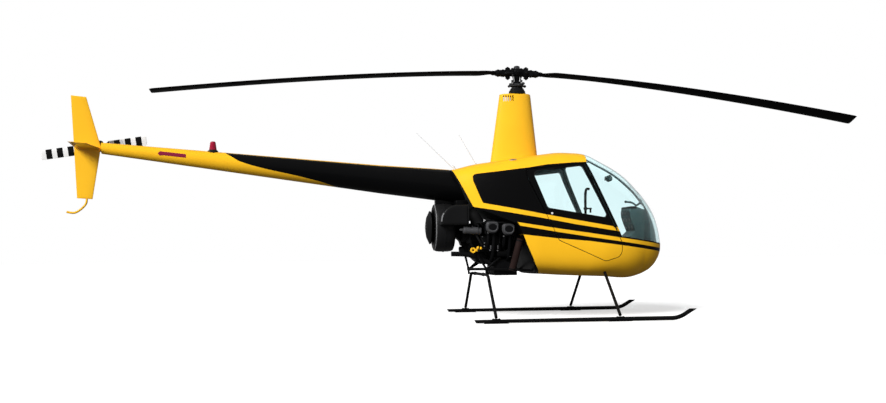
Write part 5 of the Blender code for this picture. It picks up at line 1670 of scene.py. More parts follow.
# Engine bay -----------------------------------------------------------------------------------------

@dataclass
class Engine:
    """Flat four-cylinder engine with its fan, ducts, exhaust, hose and fittings."""

    crank_z: float = 0.955
    fan_front_x: float = -0.715
    fan_rear_x: float = -0.925
    barrel: float = 0.073
    scroll_fit: float = 0.2553
    duct_middle: tuple[float, float] = (-0.715, 1.065)
    duct_half: float = 0.120
    vanes: int = 24
    pipe_y: float = -0.200
    hose_y: float = -0.450
    sump_guard: tuple[tuple[float, float], ...] = (
        (-0.588, 0.690), (-0.590, 0.648), (-0.5155, 0.632), (-0.477, 0.594), (-0.430, 0.566), (-0.343, 0.560),
        (-0.315, 0.555), (-0.315, 0.690))
    cylinders: tuple[tuple[str, float, tuple[tuple[float, float], ...]], ...] = (
        ("right", -1.0, ((-0.365, 0.950), (-0.196, 0.929))),
        ("left", 1.0, ((-0.345, 0.938), (-0.182, 0.915))))

    def build_block(self) -> None:
        """Crankcase with ribs and bolts, ribbed sump, magnetos, filter and intake pipes."""
        parts = [soft_box((-0.640, -0.150, 0.800), (-0.140, 0.150, 0.978), 0.020),
                 soft_box((-0.560, -0.120, 0.640), (-0.120, 0.120, 0.806), 0.016),
                 soft_box((-0.590, -0.141, 0.800), (-0.108, 0.141, 0.812), 0.004),
                 soft_box((-0.600, -0.006, 0.782), (-0.150, 0.006, 0.990), 0.003),
                 rod((-0.600, 0, self.crank_z), (self.fan_front_x + 0.0005, 0, self.crank_z), 0.058,
                     sides=40),
                 disc((-0.690, 0, self.crank_z), (1, 0, 0), 0.085, 0.008, 0.003, 40)]
        for x in np.arange(-0.600, -0.160, 0.055):
            parts.append(soft_box((x - 0.004, -0.1545, 0.815), (x + 0.004, 0.1545, 0.972), 0.0035))
        for z in np.arange(0.665, 0.800, 0.022):
            parts.append(soft_box((-0.556, -0.1235, z - 0.003), (-0.124, 0.1235, z + 0.003), 0.0028))
        bolts, ways = [], []
        for x in np.arange(-0.575, -0.110, 0.058):
            for side in (-1.0, 1.0):
                bolts.append((x, side * 0.133, 0.812))
                ways.append((0, 0, 1))
                bolts.append((x, side * 0.1500, 0.895))
                ways.append((0, side, 0))
        parts.append(repeated(bolt(0.007, 0.006), np.array(bolts), np.array(ways)))
        Piece.make("crankcase", joined(parts), ENGINE, replaces=("engine_block",))
        fittings = []
        for y in (-0.070, 0.070):
            fittings += [rod((-0.140, y, 0.900), (-0.075, y, 0.900), 0.036, 0.032, 28, 0.006),
                         rod((-0.075, y, 0.900), (-0.060, y, 0.900), 0.024, sides=20)]
        fittings += [rod((-0.5605, 0.050, 0.720), (-0.640, 0.050, 0.712), 0.040, sides=28, edge=0.008),
                     rod((-0.470, -0.118, 0.700), (-0.470, -0.190, 0.712), 0.017, sides=16),
                     rod((-0.400, 0.0, 0.975), (-0.400, 0.0, 1.035), 0.018, sides=16)]
        Piece.make("engine_fittings", joined(fittings), CAST)

    def build_cylinders(self) -> None:
        """Finned barrels with head covers, their baffle and the pipes under them; a thin black oval in each
        cover's hollow is painted shade.
        """
        for side, sign, axes in self.cylinders:
            barrels, covers, bolts, ways, pipes = [], [], [], [], []
            pitch = np.arange(0.1503, 0.372, 0.0085)
            rows = [(0.040, 0.1503)]
            for y in pitch[1:]:
                rows += [(0.058, y - 0.0026), (self.barrel, y - 0.0020), (self.barrel, y + 0.0014),
                         (0.058, y + 0.0020)]
            rows += [(0.060, 0.384), (0.040, 0.386)]
            for x, z in axes:
                barrels.append(turned(rows, (x, 0, z), (0, sign, 0), 36))
                cover = self.cover(x, z, sign)
                covers.append(cover)
                for dx, dz in ((-0.047, 0.040), (0.047, 0.040), (-0.044, -0.030), (0.044, -0.030),
                               (0.0, -0.052)):
                    bolts.append((x + dx, sign * 0.4175, z + dz))
                    ways.append((0, sign, 0))
                for dx, foot in ((-0.030, (-0.030, 0.105, 0.700)), (0.030, (0.020, 0.200, 0.600))):
                    path = eased(((x + dx, sign * 0.345, z - 0.055), (x + dx, sign * 0.345, z - 0.110),
                                  (x + foot[0], sign * 0.300, foot[2] + 0.040),
                                  (x + foot[0], sign * foot[1], foot[2])))
                    pipes.append(tube(path, 0.019 if dx > 0 else 0.016, 16))
                    pipes.append(disc((x + dx, sign * 0.345, z - 0.076), (0, 0, 1), 0.027, 0.004, 0.001, 20))
            for spark_x, spark_z in axes:
                lead = eased(((spark_x - 0.02, sign * 0.330, spark_z + 0.060),
                              (spark_x - 0.03, sign * 0.30, spark_z + 0.105),
                              (spark_x - 0.08, sign * 0.20, 1.020), (-0.30, sign * 0.12, 1.010)))
                pipes.append(tube(lead, 0.004, 8))
            Piece.make(f"barrels_{side}", joined(barrels), ENGINE, replaces=(f"cylinders_{side}",))
            Piece.make(f"head_covers_{side}", joined(covers), COVER)
            # A thin black oval sheet over each cover's hollow: painted shade in the recess.
            turn = turns(32)
            low, high = sorted((sign * 0.4450, sign * 0.4458))
            hollows = [prism(np.stack([x + 0.043 * np.cos(turn), z - 0.003 + 0.034 * np.sin(turn)],
                                      axis=1), low, high) for x, z in axes]
            Piece.make(f"cover_hollows_{side}", joined(hollows), ENGINE)
            screws = repeated(bolt(0.0065, 0.005), np.array(bolts), np.array(ways))
            Piece.make(f"cover_screws_{side}", screws, BRIGHT)
            Piece.make(f"engine_pipes_{side}", joined(pipes), STEEL)
            self.build_baffle(side, sign)

    def cover(self, x: float, z: float, sign: float) -> Shell:
        """A head cover: flat on top, round below, with a raised rim round an oval hollow.

        Its rings run along y; each ring is |u|^p + |w|^p = 1 with p = 4 above and 2.3 below, scaled by
        the ring's size, which falls off at the rim and again into the hollow.
        """
        angle = turns(40)
        across, lift = np.cos(angle), np.sin(angle)
        power = np.where(lift > 0, 4.0, 2.3)
        size = (np.abs(across) ** power + np.abs(lift) ** power) ** (1 / power)
        outline = np.stack([0.0625 * across / size, np.where(lift > 0, 0.050, 0.062) * lift / size], axis=1)
        rows = ((0.378, 0.96), (0.381, 1.0), (0.404, 1.0), (0.406, 1.06), (0.414, 1.06), (0.416, 1.0),
                (0.436, 0.97), (0.446, 0.90), (0.450, 0.80), (0.4498, 0.74), (0.444, 0.68), (0.4425, 0.40),
                (0.445, 0.15))
        rings = [np.stack([x + outline[:, 0] * share, np.full(40, sign * y), z + outline[:, 1] * share],
                          axis=1) for y, share in rows]
        return lofted(np.array(rings))

    def build_baffle(self, side: str, sign: float) -> None:
        """The cooling baffle over the cylinders: a top sheet with ribs and a rolled outer lip."""
        inner, outer = sign * 0.151, sign * 0.384
        low, high = sorted((inner, outer))
        parts = [soft_box((-0.520, low, 0.992), (-0.110, high, 1.002), 0.004),
                 rod((-0.520, outer, 0.994), (-0.110, outer, 0.994), 0.007, sides=14)]
        for x in (-0.500, -0.425, -0.275, -0.125):
            parts.append(soft_box((x - 0.0015, low + 0.01, 0.880), (x + 0.0015, high - 0.012, 0.993), 0.001))
        screws = np.array([(x, sign * y, 1.002) for x in np.arange(-0.49, -0.13, 0.06)
                           for y in (0.168, 0.368)])
        Piece.make(f"baffle_{side}", joined(parts) + repeated(bolt(0.004, 0.003, 8), screws), MOULDED)

    def build_fan(self) -> None:
        """Scroll with its rolled inlet, whose pale grey rim is a painted highlight, and the wheel with its
        dish, vanes and hub.
        """
        profile = ((0.085, 0.208), (0.225, 0.210), (0.240, 0.203), (0.250, 0.185), (0.2545, 0.150),
                   (0.2545, 0.112), (0.2585, 0.110), (0.2585, 0.098), (0.2545, 0.096), (0.2545, 0.060),
                   (0.250, 0.030), (0.240, 0.012), (0.224, 0.001), (0.204, -0.001), (0.190, 0.004),
                   (0.181, 0.016), (0.179, 0.035), (0.190, 0.110), (0.190, 0.190), (0.085, 0.196))
        scroll = turned(profile, (self.fan_rear_x, 0, self.crank_z), (1, 0, 0), 72, loop=True)
        ring = circle(20, 0.2565, (self.fan_rear_x + 0.1105, 0, self.crank_z), axis=0)
        Piece.make("scroll", scroll + repeated(bolt(0.0035, 0.003, 8), ring, (1, 0, 0)), MOULDED,
                   replaces=("fan_scroll",))
        # A pale grey ring on the scroll's inlet edge: a painted highlight.
        rim = turned(((0.2375, 0.006), (0.2425, 0.008), (0.2440, 0.012), (0.2400, 0.0145)),
                     (self.fan_rear_x + 0.0005, 0, self.crank_z), (1, 0, 0), 72, loop=True)
        Piece.make("scroll_highlight_rim", rim, HIGHLIGHT_GREY)
        x = self.fan_rear_x - 0.0793
        dish = turned(((0.030, 0.184), (0.034, 0.120), (0.060, 0.104), (0.150, 0.100), (0.150, 0.096),
                       (0.090, 0.070), (0.110, 0.058), (0.168, 0.0545), (0.1745, 0.050), (0.176, 0.046),
                       (0.1735, 0.041), (0.166, 0.0385), (0.112, 0.013), (0.060, 0.003), (0.047, 0.002),
                       (0.045, 0.006), (0.028, 0.006), (0.026, 0.001), (0.008, 0.0)), (x, 0, self.crank_z),
                      (1, 0, 0), 64)
        vane = soft_box((0.096, -0.0015, 0.052), (0.148, 0.0015, 0.102), 0.001)
        angle = turns(self.vanes)
        spin = np.stack([np.cos(angle), np.sin(angle)], axis=1)
        local = vane.points
        skew = local[:, 1] + 0.35 * (local[:, 0] - 0.096)
        y = local[:, 0] * spin[:, :1] - skew * spin[:, 1:]
        z = local[:, 0] * spin[:, 1:] + skew * spin[:, :1]
        points = np.stack([np.broadcast_to(x + local[:, 2], y.shape), y, self.crank_z + z], axis=-1)
        offset = np.arange(self.vanes) * len(local)
        vanes = Shell(points.reshape(-1, 3), (vane.quads[None] + offset[:, None, None]).reshape(-1, 4),
                      [cap + start for start in offset for cap in vane.caps])
        heads = circle(6, 0.0365, (x + 0.0025, 0, self.crank_z), axis=0)
        Piece.make("fan", dish + vanes, STEEL, "fan", ("fan_wheel",))
        Piece.make("fan_bolts", repeated(bolt(0.0055, 0.005), heads, (-1, 0, 0)), BRIGHT, "fan")

    def build_duct(self) -> None:
        """The elbow from the scroll's top, with a rolled outer edge whose pale grey bead is a painted
        highlight, and a flanged mouth.
        """
        outline = rounded(((-0.889, 1.179, 0.172), (-0.606, 1.179, 0.008), (-0.606, 0.972, 0.015),
                           (-0.889, 0.972, 0.010)), 18)
        form = rod((self.fan_rear_x - 0.1, 0, self.crank_z),
                   (self.fan_front_x + 0.0003, 0, self.crank_z), self.scroll_fit, sides=96)
        middle, rings = np.array(self.duct_middle), []
        for y, inset in ((-0.225, 0.012), (-0.231, 0.004), (-0.243, 0.0), (-0.378, 0.0), (-0.391, 0.004),
                         (-0.398, 0.012), (-0.400, 0.022), (-0.400, 0.050)):
            ring = middle + (outline - middle) * (1 - inset / self.duct_half)
            rings.append(np.stack([ring[:, 0], np.full(len(ring), y), ring[:, 1]], axis=1))
        elbow = carved(lofted(np.array(rings)), (Cut.TAKE, form))
        Piece.make("duct_elbow", elbow, DUCT, replaces=("cooling_duct",), smooth=50)
        # A pale grey tube along the elbow's curved outer edge: a painted highlight.
        edge = grown(outline, -0.006)
        arc = edge[(edge[:, 0] + edge[:, 1] < 0.245) & (edge[:, 1] > 1.000)]
        arc = arc[np.argsort(np.arctan2(arc[:, 1] - 1.000, arc[:, 0] + 0.700))]
        bead = np.stack([arc[:, 0], np.full(len(arc), -0.3975), arc[:, 1]], axis=1)
        Piece.make("duct_highlight_bead", tube(bead, 0.0060, 12), HIGHLIGHT_GREY)
        flange = soft_box((-0.612, -0.405, 0.968), (-0.602, -0.222, 1.183), 0.004, axis=0)
        screws = np.array([(-0.602, y, z) for y in (-0.396, -0.313, -0.231) for z in (0.978, 1.173)])
        Piece.make("duct_flange", flange + repeated(bolt(0.004, 0.003, 8), screws, (1, 0, 0)), MOULDED)
        sleeve = tube(eased(((-0.606, -0.300, 1.080), (-0.560, -0.300, 1.075), (-0.520, -0.285, 1.045),
                             (-0.490, -0.270, 1.000))), 0.062, 24)
        Piece.make("duct_sleeve", sleeve, HOSE_BLACK)

    def build_alternator(self) -> None:
        """The alternator: finned body, end caps, terminal and strap."""
        start, end = np.array((-0.656, -0.332, 0.922)), np.array((-0.463, -0.332, 0.908))
        rows = [(0.020, 0.0), (0.032, 0.002), (0.036, 0.008), (0.037, 0.014), (0.0385, 0.018),
                (0.0385, 0.026)]
        for reach in np.arange(0.034, 0.150, 0.012):
            rows += [(0.0368, reach), (0.0368, reach + 0.006), (0.0378, reach + 0.0075),
                     (0.0378, reach + 0.0105)]
        rows += [(0.0385, 0.162), (0.0385, 0.172), (0.036, 0.184), (0.028, 0.191), (0.012, 0.1935)]
        body = turned(rows, start, end - start, 40)
        lug = rod(start + (0.004, 0, 0), start - (0.030, 0, -0.001), 0.013, 0.011, 18)
        parts = [body, lug, rod(start - (0.030, 0, -0.001), start - (0.040, 0, -0.001), 0.006, sides=12),
                 soft_box((-0.515, -0.325, 0.900), (-0.475, -0.152, 0.926), 0.005),
                 rod((-0.560, -0.350, 0.950), (-0.560, -0.310, 0.962), 0.008, sides=12)]
        Piece.make("alternator_body", joined(parts), COVER, replaces=("alternator",))

    def build_exhaust(self) -> None:
        """The muffler with its seams and straps, and the open tail pipe."""
        box = soft_box((-0.310, -0.232, 0.450), (-0.070, 0.232, 0.6397), 0.034, axis=1, steps=6)
        parts = [box]
        for y in (-0.196, -0.070, 0.070, 0.196):
            parts.append(soft_box((-0.3125, y - 0.008, 0.4475), (-0.0675, y + 0.008, 0.6390), 0.036,
                                  axis=1, steps=6))
        path = eased([(x, self.pipe_y, z) for x, z in
                      ((-0.760, 0.676), (-0.600, 0.672), (-0.480, 0.640), (-0.400, 0.590), (-0.290, 0.558),
                       (-0.250, 0.545))])
        outer = tube(path, 0.025, 24)
        bore = tube([(x, self.pipe_y, z) for x, z in ((-0.800, 0.677), (-0.760, 0.676), (-0.700, 0.6745))],
                    0.022, 24)
        pipe = carved(outer, (Cut.TAKE, bore))
        Piece.make("tail_pipe", pipe, STEEL)
        parts.append(turned(((0.0255, -0.010), (0.0275, -0.009), (0.0275, 0.009), (0.0255, 0.010)),
                            (-0.500, self.pipe_y, 0.648), (0.96, 0.0, -0.27), 28))
        Piece.make("muffler_box", joined(parts), STEEL, replaces=("muffler",))

    def build_hose(self) -> None:
        """The ribbed air hose beside the cabin's rear edge: its radius waves along it."""
        path = eased([(x, self.hose_y, z) for x, z in
                      ((-0.0800, 0.822), (-0.108, 0.735), (-0.142, 0.605), (-0.175, 0.500))], 2)
        steps = np.linspace(0, 1, 150)
        reach = np.concatenate([[0.0], np.cumsum(np.linalg.norm(np.diff(path, axis=0), axis=1))])
        fine = np.stack([np.interp(steps * reach[-1], reach, path[:, i]) for i in range(3)], axis=1)
        hose = tube(fine, 0.0352 + 0.0010 * np.sin(steps * reach[-1] / 0.0092 * 2 * math.pi), 28)
        tub = prism(Cabin.tub_outline(), *BOTH)
        Piece.make("ribbed_hose", carved(hose, (Cut.TAKE, tub)), HOSE, replaces=("air_hose",))
        clamps = [turned(((0.0368, -0.007), (0.0385, -0.006), (0.0385, 0.006), (0.0368, 0.007)), place,
                         path[-1] - path[0], 32)
                  for place in (path[-1] + (0.003, 0, 0.012), path[0] - (0.006, 0, 0.020))]
        Piece.make("hose_clamps", joined(clamps), STEEL)

    def build_fittings(self) -> None:
        """Small bright fittings, a yellow coupling, and the dark boxes and lines that fill the bay."""
        dots = np.array([(-0.408, -0.395, 0.887), (-0.450, -0.300, 0.850), (-0.429, -0.300, 0.785),
                         (-0.430, -0.300, 0.752), (-0.246, -0.400, 0.852), (-0.440, -0.300, 0.722),
                         (-0.380, -0.345, 0.710), (-0.300, -0.345, 0.705)])
        studs = [rod((x, -0.300, 0.722), (x, -0.300, 0.762), 0.006, 0.008, 12) for x in (-0.362, -0.288)]
        Piece.make("bay_fittings", repeated(bolt(0.0075, 0.008), dots, (0, -1, 0.15)) + joined(studs), BRIGHT)
        carrier = [soft_box((-0.470, -0.298, 0.690), (-0.250, -0.180, 0.870), 0.020),
                   soft_box((-0.455, -0.340, 0.716), (-0.410, -0.290, 0.736), 0.006)]
        coupling = [turned(((0.012, -0.010), (0.026, -0.012), (0.029, -0.008), (0.029, 0.008), (0.026, 0.012),
                            (0.012, 0.010)), (-0.549, -0.302, 0.7115), (0, 1, 0), 32, loop=True),
                    soft_box((-0.530, -0.310, 0.697), (-0.501, -0.290, 0.726), 0.006),
                    rod((-0.505, -0.302, 0.724), (-0.490, -0.302, 0.748), 0.013, 0.012, 16, 0.003),
                    rod((-0.4657, -0.302, 0.720), (-0.4657, -0.302, 0.746), 0.011, 0.010, 16, 0.003)]
        Piece.make("yellow_coupling", joined(coupling), YELLOW_PAINT)
        carrier += [soft_box((-0.300, -0.300, 0.642), (-0.075, 0.300, 0.700), 0.018),
                    soft_box((-0.110, -0.330, 0.700), (-0.050, 0.330, 0.860), 0.014),
                    soft_box((-0.520, 0.180, 0.690), (-0.300, 0.290, 0.850), 0.020)]
        carrier += [soft_box((-0.900, -0.060, 1.190), (-0.700, 0.060, 1.250), 0.012),
                    soft_box((-0.710, -0.200, 1.100), (-0.580, 0.200, 1.235), 0.016)]
        gaps = ((-0.691, 0.848), (-0.712, 0.930), (-0.560, 0.930), (-0.560, 0.690), (-0.590, 0.700),
                (-0.598, 0.749), (-0.632, 0.765), (-0.646, 0.810))
        carrier += [prism(np.array(self.sump_guard), -0.150, 0.100), prism(np.array(gaps), -0.060, 0.060)]
        Piece.make("bay_boxes", joined(carrier), BLACK_PAINT)
        lines = []
        rng = np.random.default_rng(22)
        for index in range(12):
            side = -1.0 if index % 3 else 1.0
            x0, x1 = -0.60 + 0.045 * index, -0.42 + 0.030 * index
            wob = rng.uniform(-0.03, 0.03, (3,))
            path = eased(((x0, side * (0.22 + wob[0]), 0.970),
                          (x0 + 0.02, side * (0.31 + wob[1] * 0.3), 0.90),
                          (x1 - 0.06, side * (0.290 + wob[2] * 0.3), 0.76), (x1, side * 0.20, 0.665)))
            lines.append(tube(path, rng.uniform(0.006, 0.012), 12))
        Piece.make("bay_lines", joined(lines), HOSE_BLACK)

    def build(self) -> None:
        """The whole engine."""
        self.build_block()
        self.build_cylinders()
        self.build_fan()
        self.build_duct()
        self.build_alternator()
        self.build_exhaust()
        self.build_hose()
        self.build_fittings()


@dataclass
class EngineFrame:
    """The welded tubes that carry the engine and the boom."""

    corners: tuple[tuple[str, float, float, float, float], ...] = (
        ("right", -1.0, -0.402, -0.246, 0.516), ("left", 1.0, -0.507, 0.246, 0.508))
    side_y: float = 0.300
    arch_x: float = -0.435
    arch_z: float = 0.461
    arch_reach: float = 0.0158

    def build(self) -> None:
        """All tubes with weld beads and mounts, cut where they meet the cabin's body."""
        tubes = [rod((-0.3985, -0.262, 0.5163), (-0.5105, 0.262, 0.5077), 0.0145)]
        beads = []
        for side, sign, x, y, z in self.corners:
            reach = math.copysign(self.arch_reach, x - self.arch_x)
            brace_end = (-0.020, sign * 0.296, 0.690 + 0.180 * (0.690 - z) / (-0.200 - x))
            runs = (((x, y, z), (0.0900, sign * self.side_y, 0.4965), 0.013),
                    ((x - 0.001, y, z), (-0.575, sign * 0.263, 0.800), 0.012),
                    ((-0.575, sign * 0.263, 0.796), (-0.542, sign * self.side_y, 1.200), 0.012),
                    ((-0.575, sign * 0.279, 0.800), (-0.575, sign * 0.1503, 0.800), 0.0165),
                    ((-0.200, sign * 0.276, 0.690), (-0.200, sign * 0.1203, 0.690), 0.013),
                    ((x + 0.001, y, z), brace_end, 0.0115),
                    ((x, y, z - 0.001), (x, y, self.arch_z - 0.006), 0.0105),
                    ((x + reach / 4, y, self.arch_z + 0.005),
                     (self.arch_x + reach, y, self.arch_z + 0.001), 0.0090))
            if side == "left":
                runs += (((-0.506, 0.241, 0.509), (-0.330, 0.1300, 0.690), 0.0105),)
            for start, end, radius in runs:
                tubes.append(rod(start, end, radius, sides=20))
                start, end = np.array(start), np.array(end)
                beads.append(turned(((radius, -0.004), (radius + 0.0025, -0.002), (radius + 0.0025, 0.002),
                                     (radius, 0.004)), start + 0.016 * unit(end - start), end - start, 20))
            beads.append(disc((-0.575, sign * 0.205, 0.800), (0, 1, 0), 0.026, 0.012, 0.004, 28))
            beads.append(disc((-0.200, sign * 0.180, 0.690), (0, 1, 0), 0.024, 0.012, 0.004, 28))
            beads.append(turned(((self.arch_reach, -0.016), (0.020, -0.014), (0.020, 0.014),
                                 (self.arch_reach, 0.016)), (self.arch_x, y, self.arch_z), (0, 1, 0), 28,
                                loop=True))
        region = carved(joined(tubes[:1]), *[(Cut.JOIN, tube_) for tube_ in tubes[1:]],
                        (Cut.TAKE, prism(Cabin.tub_outline(), *BOTH)),
                        (Cut.TAKE, prism(Cabin.cowl_outline(), *BOTH)))
        Piece.make("frame_tubes", region, STEEL, replaces=("engine_frame",), smooth=40)
        Piece.make("frame_welds", joined(beads), STEEL)


# Inside the cabin -----------------------------------------------------------------------------------

@dataclass
class Seats:
    """Cushions and backs puffed up by a short cloth run, with their seams and lap belts."""

    inner_y: float = 0.035
    outer_y: float = 0.495
    cushion: tuple[tuple[float, float], tuple[float, float]] = ((0.150, 0.7198), (0.610, 0.795))
    back: tuple[tuple[float, float], ...] = (
        (0.0049, 0.800), (0.128, 0.800), (0.070, 1.120), (-0.0396, 1.120), (-0.0183, 0.8735))
    voxel: float = 0.0085
    most: float = 0.010
    pressure: float = 4.0
    quality: int = 4
    frames: int = 20
    round_by: float = 0.022

    def puffed(self, piece: bpy.types.Object) -> None:
        """Remesh a cushion, inflate it as cloth, cap its movement and soften it.

        Each point moves to P + d min(1, most / |d|), where d is the cloth's movement.
        """
        remesh = piece.modifiers.new("remesh", "REMESH")
        remesh.mode, remesh.voxel_size, remesh.use_smooth_shade = "VOXEL", self.voxel, True
        self.baked(piece)
        before = np.empty(len(piece.data.vertices) * 3)
        piece.data.vertices.foreach_get("co", before)
        cloth = piece.modifiers.new("cloth", "CLOTH")
        cloth.settings.use_pressure, cloth.settings.uniform_pressure_force = True, self.pressure
        cloth.settings.effector_weights.gravity = 0.0
        cloth.settings.quality = self.quality
        cloth.point_cache.frame_start, cloth.point_cache.frame_end = 1, self.frames
        scene = bpy.context.scene
        for frame in range(1, self.frames + 1):
            scene.frame_set(frame)
        self.baked(piece)
        scene.frame_set(1)
        after = np.empty_like(before)
        piece.data.vertices.foreach_get("co", after)
        move = (after - before).reshape(-1, 3)
        size = np.linalg.norm(move, axis=1, keepdims=True)
        held = before.reshape(-1, 3) + move * np.minimum(1.0, self.most / np.maximum(size, 1e-9))
        piece.data.vertices.foreach_set("co", held.ravel())
        soft = piece.modifiers.new("soft", "SUBSURF")
        soft.levels = soft.render_levels = 1

    @staticmethod
    def baked(piece: bpy.types.Object) -> None:
        """Replace a piece's mesh by its evaluated one, without its modifiers."""
        bpy.context.view_layer.update()
        ready = bpy.data.meshes.new_from_object(piece.evaluated_get(bpy.context.evaluated_depsgraph_get()))
        piece.modifiers.clear()
        ready.name = piece.name
        piece.data = ready

    def welt(self, outline: Array, axis: int, level: float) -> Shell:
        """A piped seam: a thin tube round a closed outline at one level of an axis."""
        ring = np.insert(np.vstack([outline, outline[:1]]), axis, level, axis=1)
        return tube(ring, 0.0032, 10)

    def build_seat(self, side: str, sign: float) -> None:
        """One seat: its cushion, its back, their seams and its belt."""
        low_y, high_y = sorted((sign * self.inner_y, sign * self.outer_y))
        (x0, z0), (x1, z1) = self.cushion
        base = soft_box((x0 + 0.004, low_y + 0.004, z0 + 0.0006),
                        (x1 - 0.004, high_y - 0.004, z1 - 0.004), self.round_by, steps=4)
        seat = Piece.make(f"cushion_{side}", base, CLOTH, replaces=(f"seat_cushion_{side}",), smooth=80)
        flat = rounded([(*corner, 0.018) for corner in grown(self.back, -0.006)], 4)
        steps = ((0.006, 0.020), (0.010, 0.008), (0.020, 0.0))
        levels = [(low_y + off, inset) for off, inset in steps]
        levels += [(high_y - off, inset) for off, inset in steps[::-1]]
        rings = [np.insert(grown(flat, -inset), 1, level, axis=1) for level, inset in levels]
        back = Piece.make(f"backrest_{side}", lofted(np.array(rings)), CLOTH,
                          replaces=(f"seat_back_{side}",), smooth=80)
        for piece in (seat, back):
            self.puffed(piece)
        edge = rounded([(x, y, self.round_by) for x, y in
                        ((x0 + 0.006, low_y + 0.006), (x1 - 0.006, low_y + 0.006),
                         (x1 - 0.006, high_y - 0.006), (x0 + 0.006, high_y - 0.006))], 5)
        seams = [self.welt(edge, 2, z1 - 0.016), self.welt(edge, 2, z0 + 0.014)]
        middle = (low_y + high_y) / 2
        for y in (middle - 0.080, middle + 0.080):
            seams.append(tube(((x0 + 0.02, y, z1 + 0.0015), ((x0 + x1) / 2, y, z1 + 0.0035),
                               (x1 - 0.02, y, z1 + 0.0010)), 0.0025, 8))
        Piece.make(f"seat_seams_{side}", joined(seams), TRIM)
        self.build_belt(side, sign, middle)

    def build_belt(self, side: str, sign: float, middle: float) -> None:
        """A lap belt over the cushion and a shoulder strap on the back, with a buckle."""
        half = (self.outer_y - self.inner_y) / 2 + 0.004
        sweep = np.linspace(-1.0, 1.0, 31)
        y = middle + half * sweep
        z = 0.8055 - 0.070 * np.clip(np.abs(sweep) - 0.86, 0, 1) / 0.14
        path = np.stack([0.250 + 0.030 * sweep ** 2, y, z], axis=1)
        strap = self.ribbon(path, (1.0, 0.0, 0.0), 0.024, 0.0022)
        rise = np.linspace(0.0, 1.0, 12)
        front = np.stack([0.132 - 0.056 * rise, np.full(12, middle + sign * 0.075),
                          0.860 + 0.255 * rise], axis=1)
        shoulder = self.ribbon(front, (0.0, 1.0, 0.0), 0.024, 0.0022)
        buckle = soft_box((0.222, middle - 0.030, 0.803), (0.282, middle + 0.030, 0.818), 0.004)
        Piece.make(f"belt_{side}", strap + shoulder, RUBBER)
        Piece.make(f"buckle_{side}", buckle, BRIGHT)

    @staticmethod
    def ribbon(path: Array, across: Sequence[float], half: float, thick: float) -> Shell:
        """A flat strap: P +- h A +- t N / 2, with N square to its run and to A."""
        tangent = unit(np.gradient(path, axis=0))
        side = np.broadcast_to(np.array(across, dtype=float), path.shape)
        normal = unit(np.cross(tangent, side)) * thick / 2
        side = side * half
        return lofted(np.stack([path - side - normal, path + side - normal, path + side + normal,
                                path - side + normal], axis=1))

    def build(self) -> None:
        """Both seats."""
        for side, sign in SIDES:
            self.build_seat(side, sign)


